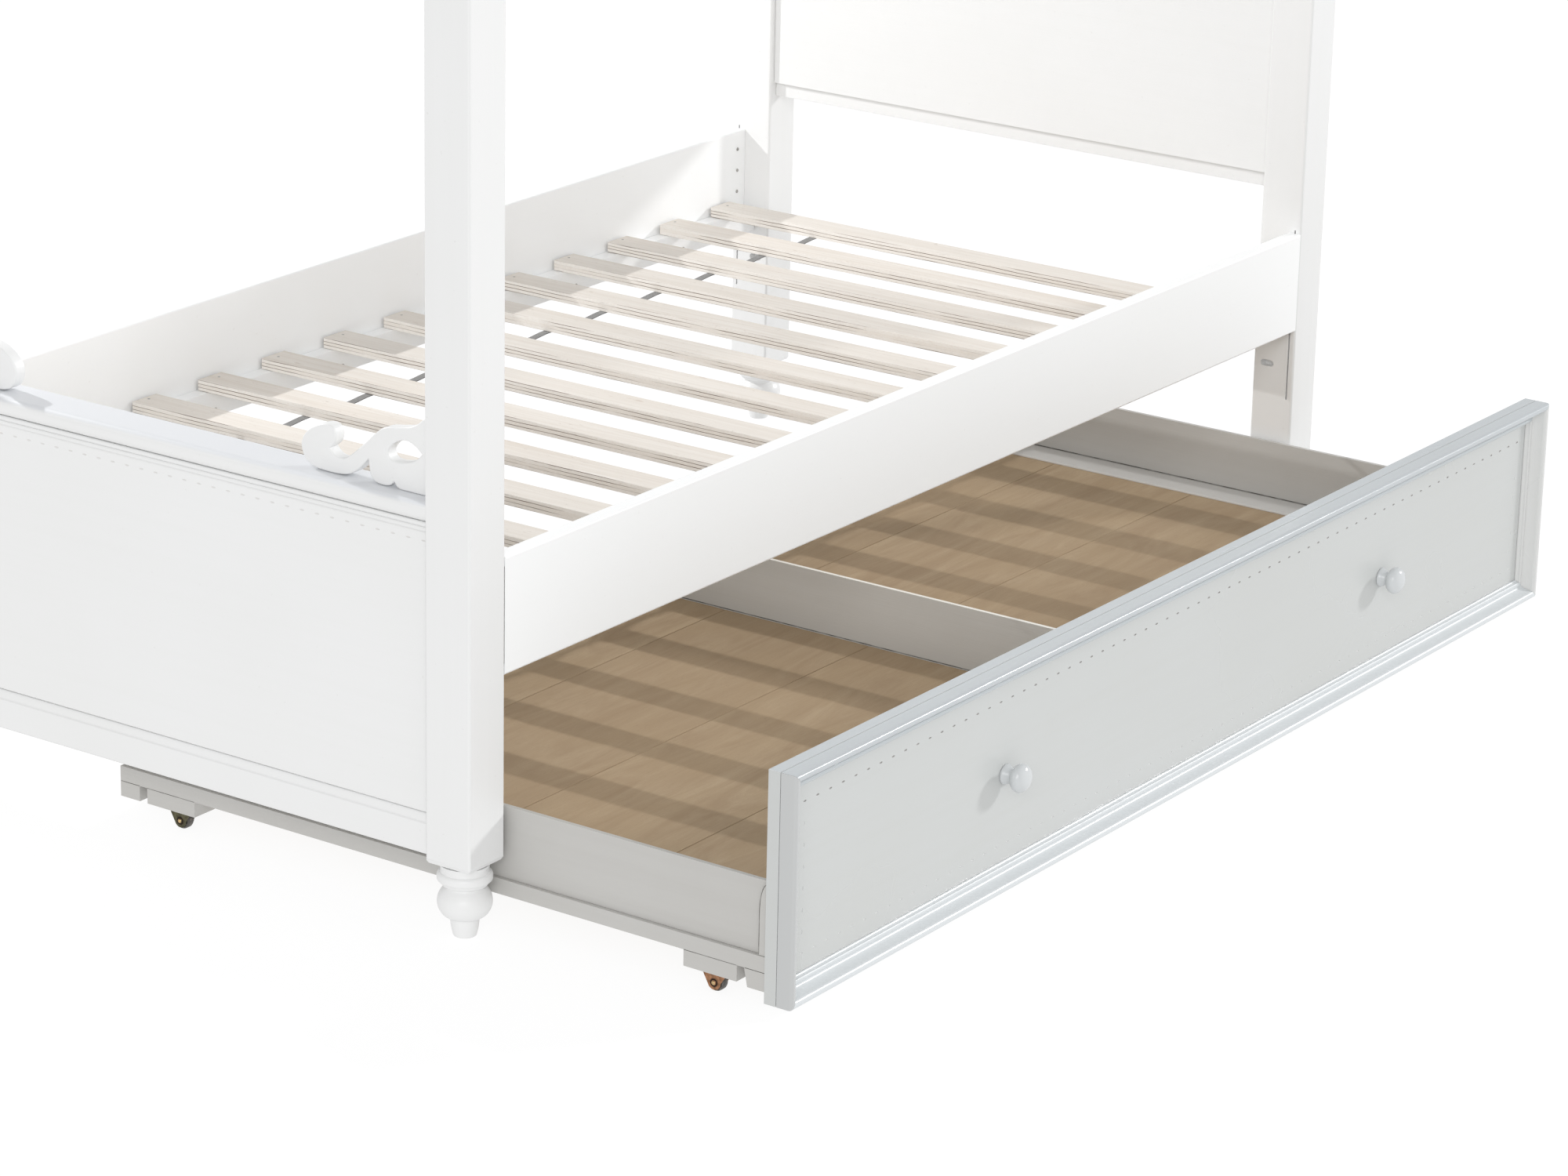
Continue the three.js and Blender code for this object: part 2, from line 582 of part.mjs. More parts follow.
function trundle() {
  const drawer = new THREE.Group();
  drawer.add(frontBoard(), ...frontMoulding());
  drawer.add(knob('knob_foot', KNOB_PLACES.foot), knob('knob_head', KNOB_PLACES.head));
  drawer.add(...boxBoards(), baseFrame(), ...floors(), ...casters());
  drawer.position.y = -TRUNDLE_PULL;
  return drawer;
}

const bed = new THREE.Group();
bed.add(bedFrame(), trundle());
const nearReach = TRUNDLE_PULL + KNOB_LENGTH;
bed.position.set(-BED_LENGTH / 2, -(BED_WIDTH - nearReach) / 2, 0);

export default bed;
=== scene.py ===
"""The trundle bed's looks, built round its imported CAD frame. Lengths are metres, +Z is up.

The bed's long side runs along X with the head end at +X. The trundle rolls out towards -Y.
"""
import math
import random

import bmesh
import bpy
from mathutils import Matrix, Vector


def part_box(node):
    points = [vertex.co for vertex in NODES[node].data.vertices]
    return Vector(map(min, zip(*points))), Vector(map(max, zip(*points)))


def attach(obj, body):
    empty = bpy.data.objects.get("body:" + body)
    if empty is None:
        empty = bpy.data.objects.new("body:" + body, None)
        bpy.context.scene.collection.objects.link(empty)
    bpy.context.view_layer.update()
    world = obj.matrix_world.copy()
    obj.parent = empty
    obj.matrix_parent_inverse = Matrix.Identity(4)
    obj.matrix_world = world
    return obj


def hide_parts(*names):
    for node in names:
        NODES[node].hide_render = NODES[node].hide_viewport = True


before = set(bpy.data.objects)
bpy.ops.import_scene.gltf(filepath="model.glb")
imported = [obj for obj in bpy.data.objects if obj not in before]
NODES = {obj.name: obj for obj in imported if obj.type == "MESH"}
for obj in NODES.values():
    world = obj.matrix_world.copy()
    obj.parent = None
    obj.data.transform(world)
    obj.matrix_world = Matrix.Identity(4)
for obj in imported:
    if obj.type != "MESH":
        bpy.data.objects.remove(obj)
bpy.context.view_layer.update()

MM = 0.001
X, Y, Z = Vector((1, 0, 0)), Vector((0, 1, 0)), Vector((0, 0, 1))
ENDS = ("foot", "head")
SIDES = ("near", "far")
ROWS = ("front", "rear")

rail_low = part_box("side_rail_near")[0]
slat_low, slat_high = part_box("slat_01")
SLAT_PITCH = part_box("slat_02")[0].x - slat_low.x
SLAT_THICK = slat_high.z - slat_low.z
SLAT_NAMES = [f"slat_{i:02d}" for i in range(1, 15)]


# ---- camera ---------------------------------------------------------------------
CAMERA_PLACE = (-5.504934, -3.859925, 2.444652)
CAMERA_LENS = 115.9425                  # mm, on a sensor 36 mm wide


def add_camera():
    """The view from the foot end and the trundle's side, a little above the bed. Angles are radians."""
    azimuth, elevation, roll = 0.964302, 0.332162, 0.021756
    forward = Vector((math.sin(azimuth) * math.cos(elevation),
                      math.cos(azimuth) * math.cos(elevation), -math.sin(elevation)))
    level = Vector((math.cos(azimuth), -math.sin(azimuth), 0))
    above = level.cross(forward)
    right = level * math.cos(roll) + above * math.sin(roll)
    up = right.cross(forward)
    data = bpy.data.cameras.new("camera")
    data.sensor_width = 36
    data.lens = CAMERA_LENS
    data.clip_end = 200
    camera = bpy.data.objects.new("camera", data)
    camera.matrix_world = Matrix((right, up, -forward)).transposed().to_4x4()
    camera.location = CAMERA_PLACE
    bpy.context.scene.collection.objects.link(camera)
    bpy.context.scene.camera = camera


# ---- materials ------------------------------------------------------------------
class Finish:
    """A material being put together. Each call adds a node and gives back its output."""

    def __init__(self, name, **sockets):
        self.material = bpy.data.materials.new(name)
        self.material.use_nodes = True
        self.tree = self.material.node_tree
        self.shader = self.tree.nodes["Principled BSDF"]
        self.place = self.node("ShaderNodeTexCoord").outputs["Object"]
        for socket, value in sockets.items():
            self.set(self.shader.inputs[socket.replace("_", " ")], value)

    def set(self, socket, value):
        if isinstance(value, bpy.types.NodeSocket):
            self.tree.links.new(value, socket)
        else:
            socket.default_value = value

    def node(self, kind, inputs=None, **settings):
        made = self.tree.nodes.new(kind)
        for key, value in settings.items():
            setattr(made, key, value)
        for key, value in (inputs or {}).items():
            self.set(made.inputs[key], value)
        return made

    def math(self, operation, a, b=0.0):
        return self.node("ShaderNodeMath", {0: a, 1: b}, operation=operation).outputs[0]

    def axis(self, letter, vector=None):
        """One coordinate: X, Y or Z."""
        split = self.node("ShaderNodeSeparateXYZ", {0: vector or self.place})
        return split.outputs[letter]

    def shifted(self, amount, vector=None):
        """The coordinates moved along all axes by one number, so that a pattern doesn't repeat."""
        moved = self.node("ShaderNodeVectorMath", {0: vector or self.place, 1: amount}, operation="ADD")
        return moved.outputs[0]

    def noise(self, size, detail=3.0, roughness=0.5, warp=0.0, vector=None):
        """Noise whose features measure size (x, y, z) in metres."""
        scale = [1 / s for s in size]
        stretched = self.node("ShaderNodeVectorMath", {0: vector or self.place, 1: scale},
                              operation="MULTIPLY")
        inputs = {"Vector": stretched.outputs[0], "Scale": 1.0, "Detail": detail,
                  "Roughness": roughness, "Distortion": warp}
        return self.node("ShaderNodeTexNoise", inputs).outputs[0]

    def span(self, value, low, high, to_low=0.0, to_high=1.0):
        """The value rescaled, so that low becomes to_low and high becomes to_high, and kept between them."""
        return self.node("ShaderNodeMapRange", {0: value, 1: low, 2: high, 3: to_low, 4: to_high}).outputs[0]

    def mix(self, factor, a, b):
        blend = self.node("ShaderNodeMix", {0: factor, 6: opaque(a), 7: opaque(b)}, data_type="RGBA")
        return blend.outputs[2]

    def edges(self, radius):
        """1 on corners and edges of the surface, 0 on its flats."""
        rounded = self.node("ShaderNodeBevel", {"Radius": radius}, samples=4).outputs[0]
        normal = self.node("ShaderNodeNewGeometry").outputs["Normal"]
        facing = self.node("ShaderNodeVectorMath", {0: rounded, 1: normal}, operation="DOT_PRODUCT")
        return self.span(facing.outputs["Value"], 0.995, 0.85)

    def finish(self, colour, roughness, bumps=()):
        """Bumps are (height, depth in metres) pairs, coarsest first."""
        self.set(self.shader.inputs["Base Color"], colour)
        self.set(self.shader.inputs["Roughness"], roughness)
        normal = None
        for height, depth in bumps:
            bump = self.node("ShaderNodeBump", {"Height": height, "Distance": depth, "Strength": 1.0})
            if normal is not None:
                self.set(bump.inputs["Normal"], normal)
            normal = bump.outputs[0]
        if normal is not None:
            self.set(self.shader.inputs["Normal"], normal)
        return self.material


def opaque(colour):
    return (*colour, 1.0) if isinstance(colour, tuple) and len(colour) == 3 else colour


def along(axis, length, width):
    """Pattern sizes for streaks that run along an axis."""
    return [length if letter == axis else width for letter in "XYZ"]


def lacquer(name, axis, colour, shade, roughness, grain_depth, top_edge=None):
    """Sprayed satin lacquer over wood: faint fibres along axis, orange peel, rougher edges with a painted
    highlight.

    A colour in top_edge shows on what faces up; where it is darker than the colour, it is painted shade.
    """
    f = Finish(f"{name}_{axis.lower()}", Specular_IOR_Level=0.45)
    cloud = f.noise((0.31, 0.27, 0.29), detail=4)
    fibres = f.noise(along(axis, 0.16, 0.0021), detail=4, roughness=0.6, warp=0.3)
    broad = f.noise(along(axis, 0.5, 0.012), detail=3)
    peel = f.noise((0.0024, 0.0024, 0.0024), detail=1)
    specks = f.span(f.noise((0.006, 0.006, 0.006), detail=2), 0.73, 0.78)
    base = f.mix(f.span(cloud, 0.35, 0.7, 0.0, 0.55), colour, shade)
    base = f.mix(f.span(broad, 0.45, 0.75, 0.0, 0.3), base, shade)
    # The edge mask paints a highlight on the edges, lightening the colour, and makes them rougher.
    edge_mask = f.edges(0.0016)
    base = f.mix(f.math("MULTIPLY", edge_mask, 0.35), base, tuple(min(1.0, c * 1.08) for c in colour))
    base = f.mix(f.math("MULTIPLY", specks, 0.12), base, (0.42, 0.39, 0.35))
    if top_edge:
        upward = f.axis("Z", f.node("ShaderNodeNewGeometry").outputs["Normal"])
        base = f.mix(f.span(upward, 0.5, 0.8), base, top_edge)
    gloss = f.math("ADD", f.span(cloud, 0.3, 0.7, roughness - 0.04, roughness + 0.05),
                   f.math("MULTIPLY", edge_mask, 0.08))
    return f.finish(base, gloss, [(fibres, grain_depth), (peel, 0.00006)])


def slat_wood():
    """Whitewashed plywood with its grain along y: flecks and knots on the face, plies and gaps on the edges.

    Each slat has its own number, drawn from its place along x, that shifts the pattern and its colour.
    """
    f = Finish("slat_wood", Specular_IOR_Level=0.25)
    number = f.math("FLOOR", f.math("DIVIDE", f.math("SUBTRACT", f.axis("X"), slat_low.x - 0.04), SLAT_PITCH))
    luck = f.node("ShaderNodeTexWhiteNoise", {"W": number}, noise_dimensions="1D").outputs["Value"]
    offset = f.node("ShaderNodeCombineXYZ", {0: 0.0, 1: f.math("MULTIPLY", luck, 3.7), 2: 0.0})
    place = f.shifted(offset.outputs[0])
    grain = f.noise(along("Y", 0.16, 0.0022), detail=5, roughness=0.65, warp=0.6, vector=place)
    figure = f.noise(along("Y", 0.42, 0.013), detail=4, warp=1.4, vector=place)
    flecks = f.span(f.noise(along("Y", 0.014, 0.0017), detail=2, vector=place), 0.70, 0.76)
    knots = f.span(f.noise(along("Y", 0.045, 0.017), detail=2, vector=place), 0.74, 0.80)
    base = f.mix(f.span(figure, 0.35, 0.68), (0.71, 0.655, 0.592), (0.79, 0.75, 0.70))
    base = f.mix(f.span(grain, 0.42, 0.7, 0.0, 0.3), base, (0.70, 0.62, 0.545))
    base = f.mix(f.math("MULTIPLY", luck, 0.35), base, (0.78, 0.745, 0.695))
    base = f.mix(f.math("MULTIPLY", knots, 0.35), base, (0.42, 0.30, 0.21))
    base = f.mix(f.math("MULTIPLY", flecks, 0.45), base, (0.30, 0.21, 0.15))

    height = f.math("DIVIDE", f.math("SUBTRACT", f.axis("Z"), slat_low.z), SLAT_THICK)
    wander = f.span(f.noise(along("Y", 0.19, 0.02), detail=4, vector=place), 0.3, 0.7, -0.06, 0.06)
    layers = f.math("MULTIPLY", f.math("ADD", height, wander), 3.0)
    glue = f.math("PINGPONG", layers, 0.5)
    glue_line = f.span(glue, 0.11, 0.03)
    crossed = f.math("FLOORED_MODULO", f.math("FLOOR", layers), 2.0)
    tilt = f.math("ABSOLUTE", f.axis("Z", f.node("ShaderNodeNewGeometry").outputs["Normal"]))
    on_edge = f.span(tilt, 0.6, 0.4)
    open_grain = f.noise((0.0013, 0.004, 0.0011), detail=3, vector=place)
    splits = f.span(f.noise(along("Y", 0.11, 0.03), detail=4, vector=place), 0.36, 0.54)
    gaps = f.math("MULTIPLY", glue_line, splits)
    edge = f.mix(f.math("MULTIPLY", crossed, 0.35), (0.86, 0.82, 0.77), (0.78, 0.72, 0.65))
    edge = f.mix(f.span(open_grain, 0.5, 0.72, 0.0, 0.3), edge, (0.66, 0.57, 0.48))
    edge = f.mix(f.math("MULTIPLY", gaps, 0.95), edge, (0.19, 0.125, 0.09))
    base = f.mix(on_edge, base, edge)
    relief = f.math("SUBTRACT", grain, f.math("MULTIPLY", f.math("MULTIPLY", gaps, on_edge), 2.0))
    return f.finish(base, f.span(grain, 0.3, 0.7, 0.62, 0.8), [(relief, 0.00022), (flecks, -0.0003)])


def floor_plywood():
    """Bare brown plywood, with a different sheet's colour on each strip."""
    f = Finish("floor_plywood", Specular_IOR_Level=0.2)
    luck = f.node("ShaderNodeAttribute", attribute_name="strip").outputs["Fac"]
    place = f.shifted(f.node("ShaderNodeCombineXYZ", {0: f.math("MULTIPLY", luck, 5.3)}).outputs[0])
    grain = f.noise(along("X", 0.05, 0.0016), detail=5, roughness=0.75, warp=0.4, vector=place)
    figure = f.noise(along("X", 0.26, 0.05), detail=4, roughness=0.6, warp=1.6, vector=place)
    patches = f.noise((0.11, 0.085, 0.1), detail=3, vector=place)
    speckle = f.noise((0.0022, 0.0013, 0.002), detail=3, roughness=0.7, vector=place)
    pores = f.span(f.noise(along("X", 0.009, 0.0011), detail=2, vector=place), 0.68, 0.75)
    base = f.mix(f.span(figure, 0.32, 0.68), (0.36, 0.262, 0.165), (0.46, 0.355, 0.235))
    base = f.mix(f.span(patches, 0.4, 0.65, 0.0, 0.5), base, (0.41, 0.305, 0.19))
    base = f.mix(f.span(grain, 0.45, 0.75, 0.0, 0.22), base, (0.31, 0.225, 0.15))
    base = f.mix(f.span(speckle, 0.4, 0.7, 0.0, 0.3), base, (0.33, 0.25, 0.17))
    base = f.mix(f.math("MULTIPLY", luck, 0.4), base, (0.34, 0.25, 0.16))
    base = f.mix(f.math("MULTIPLY", pores, 0.35), base, (0.2, 0.14, 0.09))
    return f.finish(base, f.span(grain, 0.3, 0.7, 0.6, 0.78), [(figure, 0.0002), (speckle, 0.00012)])


def woven_webbing():
    """Flat polyester webbing: ribs across it, a finer weave along it."""
    f = Finish("woven_webbing", Specular_IOR_Level=0.3, Sheen_Weight=0.3, Sheen_Roughness=0.5)
    ribs = f.math("PINGPONG", f.math("DIVIDE", f.axis("X"), 0.0012), 0.5)
    cords = f.math("PINGPONG", f.math("DIVIDE", f.axis("Y"), 0.0016), 0.5)
    weave = f.math("MULTIPLY", ribs, cords)
    fuzz = f.noise((0.0006, 0.0006, 0.0006), detail=2)
    soil = f.noise((0.06, 0.02, 0.02), detail=3)
    base = f.mix(f.span(weave, 0.0, 0.2), (0.17, 0.17, 0.168), (0.33, 0.328, 0.322))
    base = f.mix(f.span(soil, 0.45, 0.7, 0.0, 0.3), base, (0.24, 0.23, 0.215))
    return f.finish(base, 0.85, [(weave, 0.0012), (fuzz, 0.0002)])


def worn_metal(name, colour, stain, roughness, streak, darkening=None):
    """Plated metal with rolling streaks, dull stains and brighter edges. grease gives a mask where it is
    darkened.
    """
    f = Finish(name, Metallic=1.0)
    stains = f.noise((0.007, 0.006, 0.006), detail=4, roughness=0.6)
    lines = f.noise(streak, detail=3)
    edge_mask = f.edges(0.0006)
    base = f.mix(f.span(stains, 0.42, 0.66), colour, stain)
    base = f.mix(f.math("MULTIPLY", edge_mask, 0.5), base, tuple(min(1.0, c * 1.5) for c in colour))
    if darkening:
        base = f.mix(darkening(f), base, (0.035, 0.024, 0.018))
    gloss = f.span(stains, 0.35, 0.7, roughness - 0.1, roughness + 0.18)
    return f.finish(base, gloss, [(lines, 0.00006), (stains, 0.00012)])


def round_axles(f):
    """1 in a ring round each caster's axle."""
    middles = [(low + high) / 2 for low, high in (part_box(f"caster_wheel_foot_{row}") for row in ROWS)]
    aside = f.math("MINIMUM", *[f.math("ABSOLUTE", f.math("SUBTRACT", f.axis("Y"), m.y)) for m in middles])
    above = f.math("SUBTRACT", f.axis("Z"), middles[0].z)
    squares = [f.math("MULTIPLY", way, way) for way in (aside, above)]
    distance = f.math("SQRT", f.math("ADD", *squares))
    return f.math("MULTIPLY", f.span(distance, 3.0 * MM, 3.6 * MM), f.span(distance, 6.6 * MM, 4.8 * MM))


def joint_shadow():
    """Painted shade for the dark crack of a butt joint, broken by lighter paint filling it here and there."""
    f = Finish("joint_shadow", Specular_IOR_Level=0.1)
    paint = f.noise((0.02, 0.02, 0.02), detail=3)
    return f.finish(f.mix(f.span(paint, 0.45, 0.65), (0.13, 0.125, 0.115), (0.30, 0.295, 0.28)), 0.9)


def wheel_nylon():
    """Dark moulded nylon with a scuffed tread."""
    f = Finish("wheel_nylon", Specular_IOR_Level=0.5)
    scuffs = f.noise((0.0035, 0.0035, 0.0035), detail=4, roughness=0.65)
    grit = f.noise((0.0009, 0.0009, 0.0009), detail=2)
    base = f.mix(f.span(scuffs, 0.45, 0.68), (0.075, 0.068, 0.062), (0.19, 0.175, 0.155))
    return f.finish(base, f.span(scuffs, 0.35, 0.65, 0.38, 0.62), [(scuffs, 0.0002), (grit, 0.00006)])


def studio_floor():
    """A seamless pale floor that keeps most of its own brightness, so that shadows on it stay faint."""
    f = Finish("studio_floor", Specular_IOR_Level=0.1, Emission_Strength=0.9)
    f.shader.inputs["Emission Color"].default_value = (1.0, 1.0, 1.0, 1.0)
    cloth = f.noise((1.7, 1.9, 1.0), detail=3)
    base = f.mix(f.span(cloth, 0.3, 0.7), (0.115, 0.115, 0.115), (0.13, 0.13, 0.13))
    return f.finish(base, 0.9)


WHITE = {axis: lacquer("white_lacquer", axis, (0.84, 0.843, 0.843), (0.815, 0.818, 0.81), 0.36, 0.00010)
         for axis in "YZ"}
# A lighter copy of the white lacquer for the rails and ledgers: painted light.
RAIL_PAINTED_LIGHT = lacquer("rail_painted_light_lacquer", "X", (0.955, 0.962, 0.965), (0.94, 0.947, 0.945), 0.36, 0.00010)
# The front board's upward faces get a darker, bluer top_edge colour: painted shade.
FRONT = lacquer("front_lacquer", "X", (0.585, 0.60, 0.595), (0.565, 0.575, 0.56), 0.25, 0.00007,
                top_edge=(0.53, 0.565, 0.585))
# Copies of the front's paint, one for each strip: the top and foot ones darker as painted shade, the bottom
# and head ones lighter as painted light.
LIT_AND_SHADED_MOULDING = {
    "top": lacquer("moulding_painted_shade_lacquer", "X", (0.53, 0.565, 0.585), (0.515, 0.545, 0.56), 0.2, 0.00003),
    "bottom": lacquer("moulding_low_painted_light_lacquer", "X", (0.68, 0.71, 0.725), (0.66, 0.69, 0.705), 0.26, 0.00003),
    "foot": lacquer("moulding_painted_shade_lacquer", "Z", (0.54, 0.55, 0.55), (0.52, 0.53, 0.53), 0.22, 0.00006),
    "head": lacquer("moulding_head_painted_light_lacquer", "Z", (0.665, 0.67, 0.66), (0.645, 0.65, 0.64), 0.26, 0.00006),
}
KNOB = lacquer("knob_lacquer", "Z", (0.63, 0.65, 0.66), (0.61, 0.63, 0.64), 0.2, 0.00004)
GREY = {axis: lacquer("grey_paint", axis, (0.54, 0.532, 0.512), (0.492, 0.48, 0.457), 0.46, 0.00022)
        for axis in "XY"}
# The caps' upward faces are painted a darker, bluer white: painted shade.
CAP_TOP_SHADE = lacquer("cap_top_shade_lacquer", "Y", (0.84, 0.843, 0.843), (0.815, 0.818, 0.81), 0.36, 0.00010,
              top_edge=(0.735, 0.75, 0.775))
# A darker copy of the white for the footboard gouges' hollows: painted shade.
GOUGE_SHADE = lacquer("gouge_painted_shade_lacquer", "Y", (0.74, 0.735, 0.72), (0.70, 0.69, 0.67), 0.5, 0.0001)
# Copies of the front's paint for its gouges: a dark one as painted shade in the top row, a paler one as
# painted light in the rest.
FRONT_GOUGE_SHADE = lacquer("front_gouge_painted_shade_lacquer", "X", (0.36, 0.355, 0.34), (0.31, 0.30, 0.29), 0.5, 0.0001)
FRONT_GOUGE_LIGHT = lacquer("front_gouge_painted_light_lacquer", "X", (0.66, 0.67, 0.665), (0.64, 0.65, 0.64), 0.4, 0.0001)
SLAT = slat_wood()
PLYWOOD = floor_plywood()
WEBBING = woven_webbing()
# A lighter copy of the grey paint for the divider: painted light against the shade inside the box. It is
# paler still on what faces up.
DIVIDER_PAINTED_LIGHT = lacquer("divider_painted_light", "Y", (0.58, 0.575, 0.555), (0.53, 0.52, 0.495), 0.46, 0.00022,
                  top_edge=(0.88, 0.86, 0.81))
# A lighter copy of the grey paint for the end battens: painted light.
BATTEN_PAINTED_LIGHT = lacquer("batten_painted_light", "Y", (0.61, 0.605, 0.59), (0.575, 0.565, 0.545), 0.46, 0.00022)
CRACK_SHADOW = joint_shadow()
COPPER = worn_metal("copper_plate", (0.45, 0.23, 0.13), (0.22, 0.125, 0.07), 0.42, (0.004, 0.0004, 0.004),
                    darkening=round_axles)
# A darker, olive copy of the copper plate for the rear brackets: painted shade.
SHADED_COPPER = worn_metal("shaded_copper_plate", (0.14, 0.13, 0.08), (0.075, 0.07, 0.045), 0.45, (0.004, 0.0004, 0.004),
                    darkening=round_axles)
BRASS = worn_metal("rivet_brass", (0.72, 0.52, 0.27), (0.48, 0.33, 0.17), 0.3, (0.0006, 0.0006, 0.0006))
STEEL = worn_metal("zinc_steel", (0.46, 0.45, 0.43), (0.30, 0.285, 0.26), 0.4, (0.0005, 0.003, 0.003))
NYLON = wheel_nylon()


# ---- mesh helpers ----------------------------------------------------------------
def new_group(name):
    group = bpy.data.node_groups.new(name, "GeometryNodeTree")
    for way in ("INPUT", "OUTPUT"):
        group.interface.new_socket("Geometry", in_out=way, socket_type="NodeSocketGeometry")
    return group, group.nodes.new("NodeGroupInput").outputs[0], group.nodes.new("NodeGroupOutput").inputs[0]


def shade_node(group, domain, smooth):
    made = group.nodes.new("GeometryNodeSetShadeSmooth")
    made.domain = domain
    made.inputs["Shade Smooth"].default_value = smooth
    return made


def welding():
    """Joins a CAD node's loose triangles and drops the flat normals that came with them."""
    group, source, result = new_group("weld")
    drop = group.nodes.new("GeometryNodeRemoveAttribute")
    drop.inputs["Name"].default_value = "custom_normal"
    merge = group.nodes.new("GeometryNodeMergeByDistance")
    merge.inputs["Distance"].default_value = 0.01 * MM
    soft = shade_node(group, "EDGE", True)
    group.links.new(source, drop.inputs[0])
    group.links.new(drop.outputs[0], merge.inputs[0])
    group.links.new(merge.outputs[0], soft.inputs[0])
    group.links.new(soft.outputs[0], result)
    return group


def smoothing(angle):
    """Smooth shading everywhere but over edges sharper than angle."""
    group, source, result = new_group("smooth")
    faces = shade_node(group, "FACE", True)
    edges = shade_node(group, "EDGE", False)
    bend = group.nodes.new("GeometryNodeInputMeshEdgeAngle")
    sharper = group.nodes.new("FunctionNodeCompare")
    sharper.inputs["B"].default_value = angle
    group.links.new(bend.outputs["Unsigned Angle"], sharper.inputs["A"])
    group.links.new(sharper.outputs[0], edges.inputs["Selection"])
    group.links.new(source, faces.inputs[0])
    group.links.new(faces.outputs[0], edges.inputs[0])
    group.links.new(edges.outputs[0], result)
    return group


WELD = welding()
SMOOTH = smoothing(math.radians(42))


def ease(obj, width, segments=2, cad=False):
    """Rounds the sharp edges over by width, and shades flats flat and rounds round."""
    if cad:
        obj.modifiers.new("weld", "NODES").node_group = WELD
    bevel = obj.modifiers.new("ease", "BEVEL")
    bevel.width = width
    bevel.segments = segments
    bevel.limit_method = "ANGLE"
    bevel.angle_limit = math.radians(35)
    obj.modifiers.new("smooth", "NODES").node_group = SMOOTH
    weighted = obj.modifiers.new("weighted", "WEIGHTED_NORMAL")
    weighted.keep_sharp = True


def dress(names, material, easing):
    """Gives kept CAD nodes their material and eased edges."""
    for name in names:
        obj = NODES[name]
        for slot in obj.material_slots:
            slot.material = material
        ease(obj, easing, cad=True)


def as_mesh(name, shape):
    """A mesh made from the shape, which is freed, with its faces turned outwards."""
    bmesh.ops.recalc_face_normals(shape, faces=shape.faces)
    mesh = bpy.data.meshes.new(name)
    shape.to_mesh(mesh)
    shape.free()
    return mesh


def add_piece(name, mesh, materials, body, stands_for=()):
    """A new visible piece, shaded smooth except over sharp edges."""
    for material in materials:
        mesh.materials.append(material)
    mesh.polygons.foreach_set("use_smooth", [True] * len(mesh.polygons))
    mesh.set_sharp_from_angle(angle=math.radians(42))
    obj = bpy.data.objects.new(name, mesh)
    bpy.context.scene.collection.objects.link(obj)
    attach(obj, body)
    if stands_for:
        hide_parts(*stands_for)
    return obj


def smooth_line(points, steps=6):
    """A Catmull-Rom curve through the points. Two points stay a straight line."""
    points = [Vector(p) for p in points]
    if len(points) < 3:
        return points
    padded = [2 * points[0] - points[1], *points, 2 * points[-1] - points[-2]]
    line = []
    for a, b, c, d in zip(padded, padded[1:], padded[2:], padded[3:]):
        for i in range(steps):
            t = i / steps
            line.append(0.5 * (2 * b + (c - a) * t + (2 * a - 5 * b + 4 * c - d) * t ** 2
                               + (3 * b - a - 3 * c + d) * t ** 3))
    return [*line, points[-1]]


def joined_runs(runs, steps=6):
    """Runs of points, each one smooth curve, as one line whose corners are where the runs meet."""
    line = []
    for run in runs:
        for point in smooth_line(run, steps):
            if not line or (point - line[-1]).length > 1e-4:
                line.append(point)
    return line


def turn(shape, runs, place, segments=64, steps=6):
    """Adds a turned solid; its profile is (radius, height) in mm, and place puts it in the frame."""
    rings = []
    for radius, height in joined_runs(runs, steps):
        count = segments if radius > 1e-4 else 1
        angles = [2 * math.pi * i / segments for i in range(count)]
        points = [Vector((radius * math.cos(a), radius * math.sin(a), height)) for a in angles]
        rings.append([shape.verts.new(place @ (MM * point)) for point in points])
    for low, high in zip(rings, rings[1:]):
        for i in range(segments):
            j = (i + 1) % segments
            loop = [low[i % len(low)], low[j % len(low)], high[j % len(high)], high[i % len(high)]]
            loop = list(dict.fromkeys(loop))
            if len(loop) > 2:
                shape.faces.new(loop)


def turned_mesh(name, runs, places, segments=64):
    """The same turned solid at each place, as one mesh."""
    shape = bmesh.new()
    for place in places:
        turn(shape, runs, place, segments)
    return as_mesh(name, shape)


def prism(shape, outline, place, start, end):
    """Adds an outline carried from start(u) to end(u); place turns (u, v, distance) into a point."""
    first = [shape.verts.new(place(u, v, start(u))) for u, v in outline]
    last = [shape.verts.new(place(u, v, end(u))) for u, v in outline]
    shape.faces.new(first)
    shape.faces.new(last)
    for i, corner in enumerate(first):
        j = (i + 1) % len(outline)
        shape.faces.new((corner, first[j], last[j], last[i]))


def box_shape(shape, low, high):
    made = bmesh.ops.create_cube(shape, size=1)["verts"]
    middle, size = (Vector(low) + Vector(high)) / 2, Vector(high) - Vector(low)
    for vert in made:
        vert.co = middle + Vector(a * b for a, b in zip(vert.co, size))


def evaluated_copy(obj, name):
    """The object's mesh with its modifiers applied, as a new mesh."""
    graph = bpy.context.evaluated_depsgraph_get()
    mesh = bpy.data.meshes.new_from_object(obj.evaluated_get(graph))
    mesh.name = name
    return mesh


def facing(direction, point):
    """A place whose local z points along direction."""
    return Matrix.Translation(point) @ direction.to_track_quat("Z", "Y").to_matrix().to_4x4()


